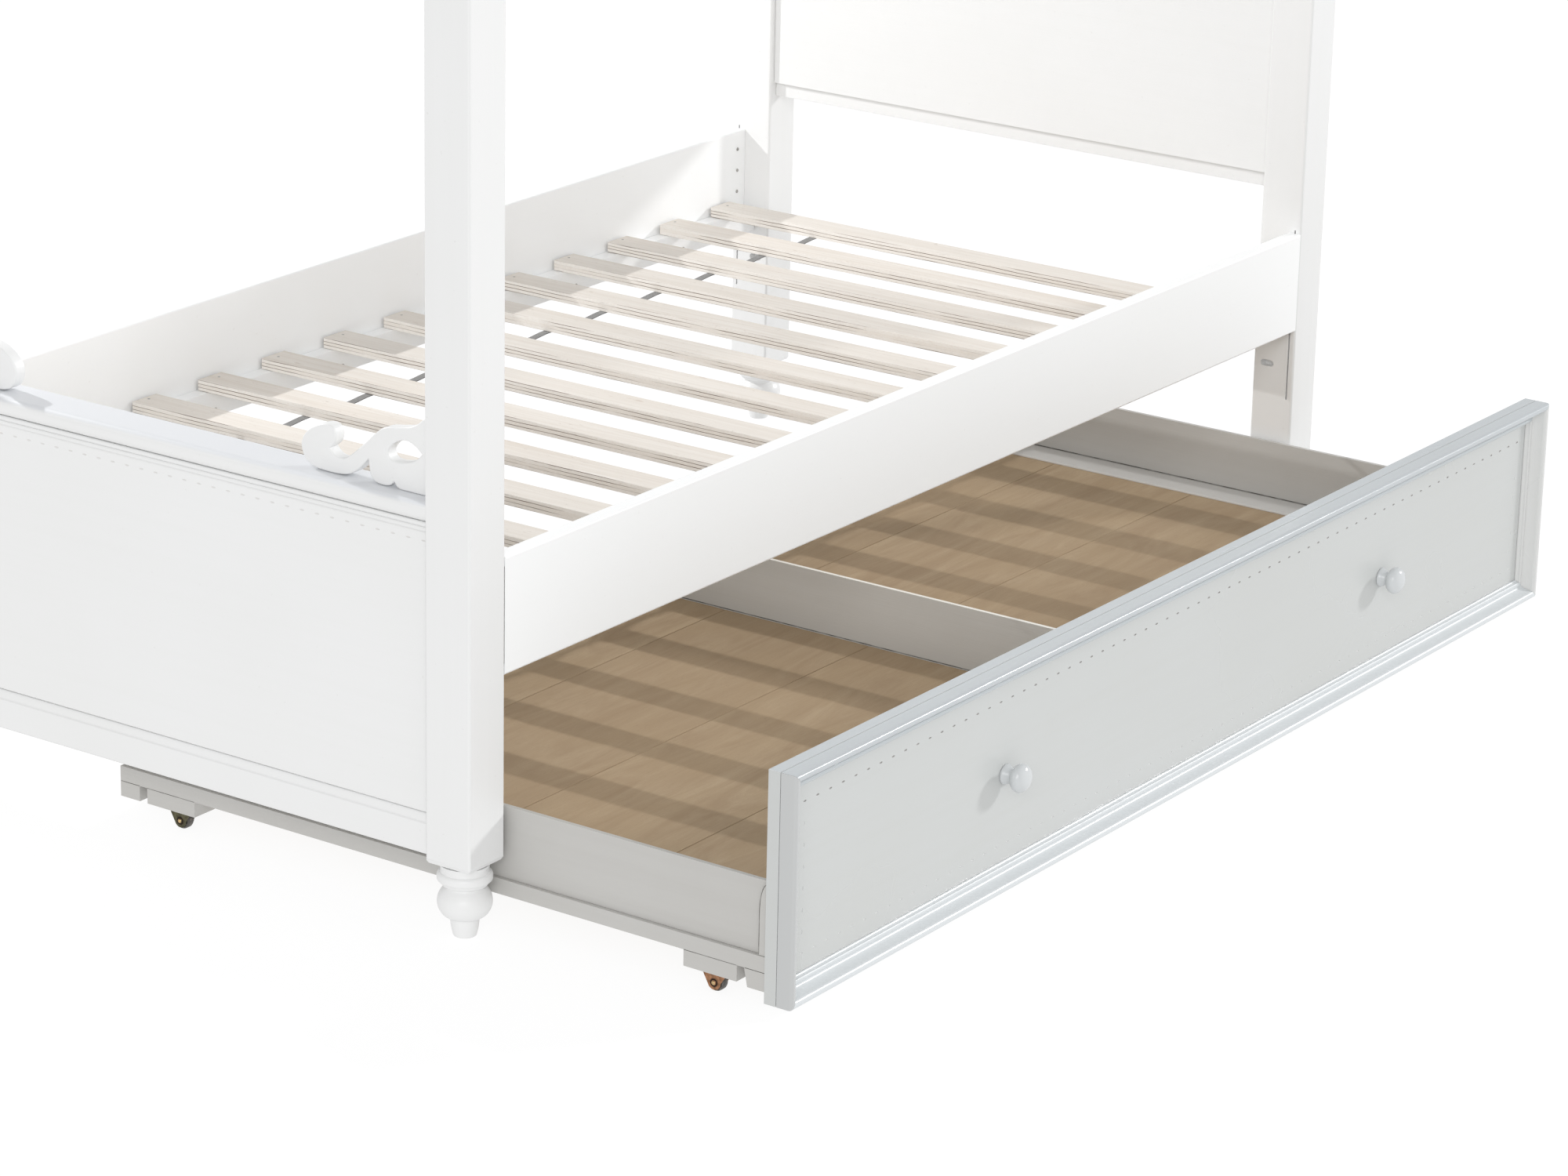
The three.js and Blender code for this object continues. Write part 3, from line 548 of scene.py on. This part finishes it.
# ---- the bed's turned and carved pieces -------------------------------------------
def turned_feet():
    """Ankle, ball, neck beads and collar, turned as one."""
    for end in ENDS:
        for side in SIDES:
            node = f"turned_foot_{end}_{side}"
            low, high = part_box(node)
            top = (high.z - low.z) / MM
            runs = [[(0, 0), (12.6, 0)], [(12.6, 0), (14.2, 0.5), (15, 2)],
                    [(15, 2), (16.6, 9), (17.6, 15), (18.2, 21), (18.4, 25)],
                    [(18.4, 25), (23.5, 26.5), (29, 31), (33, 38), (34.6, 46), (33.3, 54), (29.6, 60.5),
                     (25.4, 65)],
                    [(25.4, 65), (24.9, 66.4), (25.3, 67.8)],
                    [(25.3, 67.8), (28.2, 68.6), (30.2, 71.2), (31, 74)],
                    [(31, 74), (33, 74.2), (34.6, 76), (35, 79.6), (34.4, 83), (32.6, 85.2), (30.6, 86)],
                    [(30.6, 86), (30, 89), (30.4, 92), (31.2, top)], [(31.2, top), (0, top)]]
            place = Matrix.Translation(((low.x + high.x) / 2, (low.y + high.y) / 2, low.z))
            mesh = turned_mesh(f"foot_turning_{end}_{side}", runs, [place])
            add_piece(mesh.name, mesh, [WHITE["Z"]], "bed", [node])


# An S-scroll as closed runs of (distance from the post, height over the cap), in mm.
SCROLL_RUNS = [
    [(0, 0), (60, 0)],
    [(60, 0), (66, 2), (71, 8)],
    [(71, 8), (77, 2.5), (85, 0.6), (95, 1), (103, 4), (108.5, 13), (111, 29)],
    [(111, 29), (125, 14), (139, 4.8), (156, 0.8), (184, 0.7), (201, 4), (212, 12), (217, 26), (214, 38),
     (204, 49), (189, 57.5), (175, 61), (165, 58), (161.5, 50), (164, 39), (172, 31)],
    [(172, 31), (163, 23.5), (151, 22), (140, 28), (116, 48.5), (101, 63), (86, 73.5), (64, 78),
     (48, 81.5), (36, 87), (26, 95), (12, 104), (0, 108)],
    [(0, 108), (0, 0)],
]
SCROLL_EYE = [(27.5, 51), (37, 42), (50, 36.5), (66, 34), (77, 36.5), (80, 45), (73, 55), (62, 61.5),
              (50, 63.5), (37, 58.5), (27.5, 51)]


def scrolls():
    """Fretted boards with a hand-rounded edge, standing on the cap against each foot post."""
    for side, mirror in (("near", 1), ("far", -1)):
        low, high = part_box(f"scroll_{side}")
        post_face = low.y if mirror > 0 else high.y
        curve = bpy.data.curves.new("scroll_outline", "CURVE")
        curve.dimensions = "2D"
        curve.fill_mode = "BOTH"
        edge_round = 2.2 * MM
        curve.extrude = (high.x - low.x) / 2 - edge_round
        curve.bevel_depth = edge_round
        curve.bevel_resolution = 4
        curve.offset = -edge_round
        for loop in (joined_runs(SCROLL_RUNS, 8)[:-1], smooth_line(SCROLL_EYE, 8)[:-1]):
            spline = curve.splines.new("POLY")
            spline.points.add(len(loop) - 1)
            for point, (u, v) in zip(spline.points, loop):
                point.co = (u * MM, v * MM, 0, 1)
            spline.use_cyclic_u = True
        flat = bpy.data.objects.new("scroll_flat", curve)
        bpy.context.scene.collection.objects.link(flat)
        mesh = evaluated_copy(flat, f"scroll_carving_{side}")
        bpy.data.objects.remove(flat)
        middle = (low.x + high.x) / 2
        upright = Matrix(((0, 0, 1, middle), (mirror, 0, 0, post_face), (0, 1, 0, low.z), (0, 0, 0, 1)))
        mesh.transform(upright)
        shape = bmesh.new()
        shape.from_mesh(mesh)
        bmesh.ops.remove_doubles(shape, verts=shape.verts, dist=0.02 * MM)
        bmesh.ops.recalc_face_normals(shape, faces=shape.faces)
        shape.to_mesh(mesh)
        shape.free()
        add_piece(mesh.name, mesh, [WHITE["Y"]], "bed", [f"scroll_{side}"])


def gouged_board(node, name, materials, body, gouges, size):
    """A CAD board with short oval gouges cut in its face.

    Each gouge is (middle, long axis, into the board, paint); paint 0 is the first material after the board's.
    size holds the half length, half width and depth of each, in mm.
    """
    shape = bmesh.new()
    for middle, long_axis, into, paint in gouges:
        made = bmesh.ops.create_icosphere(shape, subdivisions=3, radius=1)["verts"]
        across = into.cross(long_axis)
        for face in {face for vert in made for face in vert.link_faces}:
            face.material_index = paint
        for vert in made:
            a, b, c = vert.co
            vert.co = middle + MM * (a * size[0] * long_axis + b * size[1] * across + c * size[2] * into)
    cutter = bpy.data.objects.new("cutter", as_mesh("cutter", shape))
    for material in materials[1:]:
        cutter.data.materials.append(material)
    board_shape = bmesh.new()
    board_shape.from_mesh(NODES[node].data)
    bmesh.ops.remove_doubles(board_shape, verts=board_shape.verts, dist=0.01 * MM)
    bmesh.ops.dissolve_limit(board_shape, angle_limit=math.radians(1), verts=board_shape.verts,
                             edges=board_shape.edges)
    board = bpy.data.objects.new("board", as_mesh("board", board_shape))
    board.data.materials.append(materials[0])
    for obj in (cutter, board):
        bpy.context.scene.collection.objects.link(obj)
    eased = board.modifiers.new("ease", "BEVEL")
    eased.width = 1.2 * MM
    eased.segments = 2
    eased.angle_limit = math.radians(35)
    carve = board.modifiers.new("carve", "BOOLEAN")
    carve.object = cutter
    carve.operation = "DIFFERENCE"
    carve.solver = "EXACT"
    carve.material_mode = "TRANSFER"
    mesh = evaluated_copy(board, name)
    for obj in (cutter, board):
        bpy.data.objects.remove(obj)
    piece = add_piece(name, mesh, [], body, [node])
    weighted = piece.modifiers.new("weighted", "WEIGHTED_NORMAL")
    weighted.keep_sharp = True


def spread(start, end, pitch):
    """Places from start to end at about pitch."""
    count = round(abs(end - start) / pitch)
    return [start + (end - start) * i / count for i in range(count + 1)]


def footboard_gouges():
    """A row of small marks under the footboard's reeding, their hollows darker as painted shade."""
    low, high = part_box("footboard_panel")
    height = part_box("footboard_reeding")[0].z - 13.5 * MM
    pitch = 23.9 * MM
    row = spread(low.y + pitch / 2, high.y - pitch / 2, pitch)
    gouges = [(Vector((low.x, y, height)), Y, X, 0) for y in row]
    gouged_board("footboard_panel", "footboard_face", [WHITE["Y"], GOUGE_SHADE], "bed",
                 gouges, (3.6, 1.1, 0.6))


def front_gouges():
    """A frame of small marks inside the front's moulding: the top row's are dark with painted shade, the
    others paler with painted light.
    """
    low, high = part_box("trundle_front_board")
    inset, pitch = 52 * MM, 26.7 * MM
    left, right = low.x + inset, high.x - inset
    bottom, top = low.z + inset, high.z - inset
    across, upright = spread(left, right, pitch), spread(bottom, top, pitch)[1:-1]
    gouges = [(Vector((x, low.y, top)), X, Y, 0) for x in across]
    gouges += [(Vector((x, low.y, bottom)), X, Y, 1) for x in across]
    gouges += [(Vector((x, low.y, z)), Z, Y, 1) for x in (left, right) for z in upright]
    gouged_board("trundle_front_board", "trundle_front_face", [FRONT, FRONT_GOUGE_SHADE, FRONT_GOUGE_LIGHT], "trundle",
                 gouges, (3.2, 1.15, 1.2))


# The picture-frame moulding's section in mm: distance in from the front's edge, height over the board.
MOULDING_RUNS = [
    [(0.8, 0.3), (0, 1.1)],
    [(0, 1.1), (0, 18.5)],
    [(0, 18.5), (0.4, 21), (1.9, 23.2), (4.2, 24), (7.2, 23.6), (9.6, 22), (10.6, 20.2)],
    [(10.6, 20.2), (11.2, 18), (12.4, 14.5), (14.4, 10.6), (17.2, 7.5), (20, 6.2)],
    [(20, 6.2), (20.3, 7.4)],
    [(20.3, 7.4), (22.2, 7.8), (24.2, 7.6), (25.9, 6.7)],
    [(25.9, 6.7), (26.1, 4.6)],
    [(26.1, 4.6), (27.2, 3), (28.4, 2.1), (29, 1.8)],
    [(29, 1.8), (29, 0.3)],
]


def front_mouldings():
    """Four mitred strips round the trundle's front, in lighter and darker copies of one paint: painted light
    and shade.
    """
    low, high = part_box("trundle_front_board")
    face = low.y
    section = [Vector(p) * MM for p in joined_runs(MOULDING_RUNS, 5)]
    gap = 0.15 * MM
    wide, tall = high.x - low.x, high.z - low.z
    strips = {
        "bottom": (wide, lambda u, v, d: (low.x + d, face - v, low.z + u)),
        "top": (wide, lambda u, v, d: (low.x + d, face - v, high.z - u)),
        "foot": (tall, lambda u, v, d: (low.x + u, face - v, low.z + d)),
        "head": (tall, lambda u, v, d: (high.x - u, face - v, low.z + d)),
    }
    for side, (length, place) in strips.items():
        shape = bmesh.new()
        prism(shape, section, place, lambda u: u + gap, lambda u, length=length: length - u - gap)
        mesh = as_mesh(f"moulding_strip_{side}", shape)
        add_piece(mesh.name, mesh, [LIT_AND_SHADED_MOULDING[side]], "trundle", [f"front_moulding_{side}"])


def knobs():
    """Turned knobs: tapered foot, thin neck, oval ball."""
    for end in ENDS:
        low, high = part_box(f"knob_{end}")
        length = (high.y - low.y) / MM
        ball_radius, ball_half = 19, 12.4
        middle = length - ball_half
        ball = [(ball_radius * math.cos(a), middle + ball_half * math.sin(a))
                for a in (math.radians(d) for d in range(-54, 91, 9))]
        runs = [[(0, 14), (2.6, 14)], [(2.6, 14), (2.6, 0)], [(2.6, 0), (13, 0)],
                [(13, 0), (13.5, 1), (13.4, 2.2)],
                [(13.4, 2.2), (12.4, 4.4), (10.4, 7.4), (9, 10), (8.7, 11.6), (9.6, 13), ball[0]],
                ball[:-1], [ball[-2], (0, length)]]
        place = facing(-Y, Vector(((low.x + high.x) / 2, high.y, (low.z + high.z) / 2)))
        mesh = turned_mesh(f"knob_turning_{end}", runs, [place])
        add_piece(mesh.name, mesh, [KNOB], "trundle", [f"knob_{end}"])


# ---- slats' straps, trundle floor ---------------------------------------------------
def slat_straps():
    """Webbing stapled under the slats, sagging a little in each gap."""
    sag, steps = 2.6 * MM, 10
    for side in SIDES:
        low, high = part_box(f"slat_strap_{side}")
        thick = high.z - low.z
        edge = thick * 0.45
        stations = [(slat_low.x, 0.0)]
        for i, name in enumerate(SLAT_NAMES[:-1]):
            start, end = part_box(name)[1].x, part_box(SLAT_NAMES[i + 1])[0].x
            stations += [(start + (end - start) * t / steps, sag * math.sin(math.pi * t / steps) ** 2)
                         for t in range(steps + 1)]
        stations.append((high.x, 0.0))
        section = [(low.y + edge, low.z), (high.y - edge, low.z), (high.y, low.z + thick / 2),
                   (high.y - edge, high.z), (low.y + edge, high.z), (low.y, low.z + thick / 2)]
        shape = bmesh.new()
        rings = [[shape.verts.new((x, y, z - drop)) for y, z in section] for x, drop in stations]
        for a, b in zip(rings, rings[1:]):
            for i in range(len(section)):
                j = (i + 1) % len(section)
                shape.faces.new((a[i], a[j], b[j], b[i]))
        shape.faces.new(rings[0])
        shape.faces.new(rings[-1])
        mesh = as_mesh(f"webbing_strap_{side}", shape)
        add_piece(mesh.name, mesh, [WEBBING], "bed", [f"slat_strap_{side}"])


FLOOR_SEAMS = (290, 533, 780)           # mm back from the front board's face
BATTEN_THICK = 3                        # mm
BATTEN_WIDTH = 57                       # mm


def trundle_floors():
    """Each bay's plywood floor in four strips, with a painted batten at the outer end."""
    half_seam, crack = 0.5 * MM, 1.6 * MM
    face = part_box("trundle_front_board")[0].y
    rng = random.Random(7)
    for end in ENDS:
        low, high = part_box(f"trundle_floor_{end}")
        lines = [low.y, *[face + seam * MM for seam in FLOOR_SEAMS], high.y]
        shape = bmesh.new()
        luck = []
        for a, b in zip(lines, lines[1:]):
            box_shape(shape, (low.x + crack, a + half_seam, low.z), (high.x - crack, b - half_seam, high.z))
            luck.append(rng.random())
        mesh = as_mesh(f"plywood_strips_{end}", shape)
        strip = mesh.attributes.new("strip", "FLOAT", "POINT")
        for i, vert in enumerate(mesh.vertices):
            strip.data[i].value = luck[next(k for k, b in enumerate(lines[1:]) if vert.co.y < b)]
        piece = add_piece(mesh.name, mesh, [PLYWOOD], "trundle", [f"trundle_floor_{end}"])
        ease(piece, 0.6 * MM)
        if end == "foot":
            start, stop = low.x + crack, low.x + BATTEN_WIDTH * MM
        else:
            start, stop = high.x - BATTEN_WIDTH * MM, high.x - crack
        shape = bmesh.new()
        box_shape(shape, (start, low.y + MM, high.z), (stop, high.y - MM, high.z + BATTEN_THICK * MM))
        mesh = as_mesh(f"end_batten_{end}", shape)
        batten = add_piece(mesh.name, mesh, [BATTEN_PAINTED_LIGHT], "trundle")
        ease(batten, 0.8 * MM)


# ---- hardware ------------------------------------------------------------------------
# Turned heads as closed runs of (radius, height over the surface), in mm.
SCREW_RUNS = [[(0, 0), (3.9, 0)], [(3.9, 0), (4, 0.5), (3.2, 1.4), (1.2, 1.9), (0, 2)]]
NAIL_RUNS = [[(0, -1), (1.9, -1)], [(1.9, -1), (2, 0.1), (1.3, 0.35), (0, 0.4)]]
PIN_RUNS = [[(0, 0), (2.6, 0)], [(2.6, 0), (2.7, 0.8), (2.1, 1.4), (0, 1.6)]]
RIVET_RUNS = [[(0, 0), (2.5, 0)], [(2.5, 0), (2.7, 0.7), (2.3, 1.5), (1.2, 1.9), (0, 2)]]


def fasteners(name, runs, places, body, metal=STEEL):
    """One piece made of the same turned head at each place."""
    mesh = turned_mesh(name, runs, places, segments=20)
    add_piece(name, mesh, [metal], body)


def cross_slotted(name, places, body):
    """Pan-head screws with a cross-shaped recess drawn as four wings round it."""
    shape = bmesh.new()
    for place in places:
        turn(shape, SCREW_RUNS, place, 20, 4)
        for quarter in range(2):
            spin = Matrix.Rotation(quarter * math.pi / 2 + 0.5, 4, "Z")
            made = bmesh.ops.create_cube(shape, size=1)["verts"]
            for vert in made:
                vert.co = place @ spin @ (Vector((vert.co.x * 4.2, vert.co.y * 0.7, 1.55 + vert.co.z)) * MM)
    add_piece(name, as_mesh(name, shape), [STEEL], body)


def slat_nails():
    """A nail at each end of each slat, none quite in line."""
    rng = random.Random(3)
    for side in SIDES:
        places = []
        for name in SLAT_NAMES:
            low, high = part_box(name)
            y = low.y + 12 * MM if side == "near" else high.y - 12 * MM
            jitter = Vector((rng.uniform(-5, 5), rng.uniform(-3, 3), 0)) * MM
            places.append(Matrix.Translation(Vector(((low.x + high.x) / 2, y, high.z)) + jitter))
        fasteners(f"slat_nails_{side}", NAIL_RUNS, places, "bed")


def ledger_screws():
    """Seven screws through each ledger into the rail."""
    pitch = 280 * MM
    for side, way in (("near", Y), ("far", -Y)):
        low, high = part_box(f"slat_ledger_{side}")
        y = high.y if side == "near" else low.y
        first = low.x + 52 * MM
        places = [facing(way, Vector((first + i * pitch, y, low.z + 9 * MM))) for i in range(7)]
        cross_slotted(f"ledger_screws_{side}", places, "bed")


def rail_pins():
    """Pins through the rail ends that hold the hook plates."""
    for side, way in (("near", Y), ("far", -Y)):
        low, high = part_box(f"side_rail_{side}")
        y = high.y if side == "near" else low.y
        xs = (low.x + 21 * MM, high.x - 21 * MM)
        places = [facing(way, Vector((x, y, low.z + dz * MM))) for x in xs for dz in (52, 87, 122)]
        fasteners(f"rail_pins_{side}", PIN_RUNS, places, "bed")


def hook_plates():
    """A stamped plate let into each rail end, with two hooks that reach into the post's slot."""
    for side in SIDES:
        low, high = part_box(f"side_rail_{side}")
        inset, half_width, half_height = 10 * MM, 7.8 * MM, 62 * MM
        y = low.y + inset if side == "near" else high.y - inset
        for end, x, out in (("foot", low.x, -1), ("head", high.x, 1)):
            shape = bmesh.new()
            plate = sorted((x + out * 0.1 * MM, x - out * 2.1 * MM))
            middle = (low.z + high.z) / 2
            box_shape(shape, (plate[0], y - half_width, middle - half_height),
                      (plate[1], y + half_width, middle + half_height))
            for lift in (-34, 34):
                reach = sorted((x, x + out * 9 * MM))
                z = middle + lift * MM
                box_shape(shape, (reach[0], y - MM, z - 11 * MM), (reach[1], y + MM, z + 11 * MM))
                tip = sorted((x + out * 5 * MM, x + out * 9 * MM))
                box_shape(shape, (tip[0], y - 0.98 * MM, z - 20 * MM), (tip[1], y + 0.98 * MM, z - 8 * MM))
            name = f"hook_plate_{end}_{side}"
            piece = add_piece(name, as_mesh(name, shape), [STEEL], "bed")
            ease(piece, 0.3 * MM)


def knob_screws():
    """The screw that holds each knob, seen on the front board's back."""
    places = []
    for end in ENDS:
        low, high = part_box(f"knob_{end}")
        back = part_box("trundle_front_board")[1].y
        places.append(facing(Y, Vector(((low.x + high.x) / 2, back, (low.z + high.z) / 2))))
    cross_slotted("knob_screws", places, "trundle")


def caster_rivets():
    """The burred-over end of each caster's axle."""
    for end in ENDS:
        places = []
        for row in ROWS:
            low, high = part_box(f"caster_bracket_{end}_{row}")
            wheel_low, wheel_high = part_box(f"caster_wheel_{end}_{row}")
            middle = (wheel_low + wheel_high) / 2
            for x, way in ((low.x + MM, -X), (high.x - MM, X)):
                places.append(facing(way, Vector((x, middle.y, middle.z))))
        fasteners(f"caster_rivets_{end}", RIVET_RUNS, places, "trundle", BRASS)


# Where blocks are glued under the base frame's end rail: from its front end, in mm.
GLUED_BLOCKS = [(0.5, 30), (42, 120.4), (902, 982.4), (996, 1028)]
RAIL_DEPTH_OVER_CORNER = 24.3            # from the corner block's underside up to the rail's, in mm


def ribbon(shape, line, outer_x, way, width):
    """A thin flat strip along a line of (y, z) points, lying on the plane x = outer_x and facing way."""
    half, thick = width / 2, 0.2 * MM
    rails = []
    for i, point in enumerate(line):
        ahead, behind = line[min(i + 1, len(line) - 1)], line[max(i - 1, 0)]
        run = (ahead - behind).normalized()
        aside = Vector((-run.y, run.x)) * half
        rails.append((point + aside, point - aside))
    rings = []
    for a, b in rails:
        corners = ((-thick, a), (thick, a), (thick, b), (-thick, b))
        rings.append([shape.verts.new((outer_x + way * lift, p.x, p.y)) for lift, p in corners])
    for first, second in zip(rings, rings[1:]):
        for i in range(4):
            j = (i + 1) % 4
            shape.faces.new((first[i], first[j], second[j], second[i]))
    shape.faces.new(rings[0])
    shape.faces.new(rings[-1])


def joint_shadow_lines():
    """Painted shade: thin dark strips on the cracks round the trundle's corner cleats and over the blocks
    under its base frame.
    """
    frame_low, frame_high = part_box("trundle_base_frame")
    cleat_width, cleat_curve, rim = 12 * MM, 38 * MM, 0.9 * MM
    for end, way in (("foot", -1), ("head", 1)):
        shape = bmesh.new()
        rail_x = frame_low.x if way < 0 else frame_high.x
        z = frame_low.z + RAIL_DEPTH_OVER_CORNER * MM
        for start, stop in GLUED_BLOCKS:
            line = [Vector((frame_low.y + d * MM, z)) for d in (start, stop)]
            ribbon(shape, line, rail_x, way, 0.7 * MM)
        low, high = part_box(f"trundle_side_{end}")
        cleat_x = low.x if way < 0 else high.x
        shoulder = high.z - 2 * MM - cleat_curve
        reach, rise = cleat_width - rim, cleat_curve - rim
        arc = [Vector((low.y + reach * math.cos(a), shoulder + rise * math.sin(a)))
               for a in (math.radians(d) for d in range(0, 86, 7))]
        ribbon(shape, [Vector((low.y + reach, low.z + MM)), *arc], cleat_x, way, 0.8 * MM)
        mesh = as_mesh(f"joint_shadow_lines_{end}", shape)
        add_piece(mesh.name, mesh, [CRACK_SHADOW], "trundle")


def floor_crack_shadows():
    """Painted shade: thin dark strips on the cracks where the floor meets the divider and the head end's
    batten meets the side.
    """
    shape = bmesh.new()
    for node, lift in (("trundle_divider", 0.9), ("trundle_side_head", BATTEN_THICK + 0.7)):
        low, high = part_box(node)
        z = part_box("trundle_floor_foot")[1].z + lift * MM
        ribbon(shape, [Vector((low.y + MM, z)), Vector((high.y - MM, z))], low.x, -1, 1.4 * MM)
    add_piece("floor_crack_shadows", as_mesh("floor_crack_shadows", shape), [CRACK_SHADOW], "trundle")


def caster_wheels():
    """Moulded wheels with a raised hub and a rounded tread."""
    for end in ENDS:
        for row in ROWS:
            node = f"caster_wheel_{end}_{row}"
            low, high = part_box(node)
            half, radius = (high.x - low.x) / 2 / MM, (high.z - low.z) / 2 / MM
            side = [[(2.3, half), (4.6, half)], [(4.6, half), (5.2, half - 0.3), (5.5, half - 1)],
                    [(5.5, half - 1), (9.4, half - 1)],
                    [(9.4, half - 1), (9.8, half - 0.5), (10.4, half - 0.4)],
                    [(10.4, half - 0.4), (11.3, half - 0.9), (radius, half - 2.4)]]
            mirrored = [[(r, -h) for r, h in reversed(run)] for run in reversed(side)]
            tread = [(radius, half - 2.4), (radius, 2.4 - half)]
            bore = [(2.3, -half), (2.3, half)]
            runs = [*side, tread, *mirrored, bore]
            place = facing(X, (low + high) / 2)
            mesh = turned_mesh(f"wheel_moulding_{end}_{row}", runs, [place], segments=48)
            add_piece(mesh.name, mesh, [NYLON], f"wheel_{end}_{row}", [node])


# ---- kept CAD nodes --------------------------------------------------------------------
def dress_cad_nodes():
    """Paint, wood or metal, and an eased edge, for each CAD node that shows as it is."""
    posts = [f"post_{end}_{side}" for end in ENDS for side in SIDES]
    dress(posts, WHITE["Z"], 0.9 * MM)
    dress(["side_rail_near", "side_rail_far"], RAIL_PAINTED_LIGHT, 0.8 * MM)
    dress(["slat_ledger_near", "slat_ledger_far"], RAIL_PAINTED_LIGHT, 1.2 * MM)
    dress(["footboard_base_rail", "headboard_panel", "headboard_lower_rail"], WHITE["Y"], 1.2 * MM)
    dress(["footboard_reeding"], WHITE["Y"], 0.4 * MM)
    dress(["footboard_cap", "headboard_cap"], CAP_TOP_SHADE, 0.4 * MM)
    dress(SLAT_NAMES, SLAT, 0.9 * MM)
    dress(["trundle_side_foot", "trundle_side_head"], GREY["Y"], 1.0 * MM)
    dress(["trundle_divider"], DIVIDER_PAINTED_LIGHT, 0.8 * MM)
    dress(["trundle_back"], GREY["X"], 1.0 * MM)
    dress(["trundle_base_frame"], GREY["Y"], 0.9 * MM)
    dress([f"caster_bracket_{end}_front" for end in ENDS], COPPER, 0.25 * MM)
    # The rear brackets take the darker copy of the copper plate: painted shade.
    dress([f"caster_bracket_{end}_rear" for end in ENDS], SHADED_COPPER, 0.25 * MM)


# ---- stage and light --------------------------------------------------------------------
SKY_FALL = (0.0, 0.7, 0.88, 0.60)       # between these two heights, brightness goes between the last two


def add_stage():
    """A white sweep: bright below and at eye level, dimmer overhead."""
    shape = bmesh.new()
    bmesh.ops.create_grid(shape, x_segments=1, y_segments=1, size=60)
    floor = bpy.data.objects.new("studio_floor", as_mesh("studio_floor", shape))
    floor.data.materials.append(studio_floor())
    bpy.context.scene.collection.objects.link(floor)
    floor.visible_diffuse = False
    floor.visible_glossy = False

    world = bpy.data.worlds.new("studio")
    world.use_nodes = True
    nodes, links = world.node_tree.nodes, world.node_tree.links
    height = nodes.new("ShaderNodeSeparateXYZ")
    links.new(nodes.new("ShaderNodeTexCoord").outputs["Generated"], height.inputs[0])
    fall = nodes.new("ShaderNodeMapRange")
    for socket, value in zip(fall.inputs[1:], SKY_FALL):
        socket.default_value = value
    links.new(height.outputs["Z"], fall.inputs[0])
    links.new(fall.outputs[0], nodes["Background"].inputs["Strength"])
    nodes["Background"].inputs["Color"].default_value = (1.0, 1.0, 1.0, 1.0)
    bpy.context.scene.world = world
    bpy.context.scene.view_settings.view_transform = "Standard"


def add_lamp(name, place, watts, radius):
    """A small round lamp near the bed, so that the slats' shadows spread apart on the trundle's floor."""
    data = bpy.data.lights.new(name, "POINT")
    data.energy = watts
    data.shadow_soft_size = radius
    lamp = bpy.data.objects.new(name, data)
    lamp.location = place
    bpy.context.scene.collection.objects.link(lamp)


def add_sun(name, towards, strength, angle):
    """A distant soft light that shines from the direction towards; angle is how wide it looks, in degrees."""
    data = bpy.data.lights.new(name, "SUN")
    data.energy = strength
    data.angle = math.radians(angle)
    lamp = bpy.data.objects.new(name, data)
    lamp.rotation_mode = "QUATERNION"
    lamp.rotation_quaternion = Vector(towards).to_track_quat("Z", "Y")
    bpy.context.scene.collection.objects.link(lamp)


def add_lights():
    """A near lamp beyond the far rail, and two suns in front, one off each end of the bed, that fill in."""
    lamp_place = (rail_low.x + 0.56, rail_low.y + 3.07, 2.06)
    add_lamp("window_lamp", lamp_place, 188, 0.03)
    add_sun("camera_fill", (-0.80, -0.50, 0.42), 0.86, 30)
    add_sun("front_fill", (0.777, -0.52, 0.36), 1.15, 7)


add_camera()
turned_feet()
scrolls()
footboard_gouges()
front_gouges()
front_mouldings()
knobs()
slat_straps()
trundle_floors()
slat_nails()
ledger_screws()
rail_pins()
hook_plates()
knob_screws()
caster_rivets()
joint_shadow_lines()
floor_crack_shadows()
caster_wheels()
dress_cad_nodes()
add_stage()
add_lights()
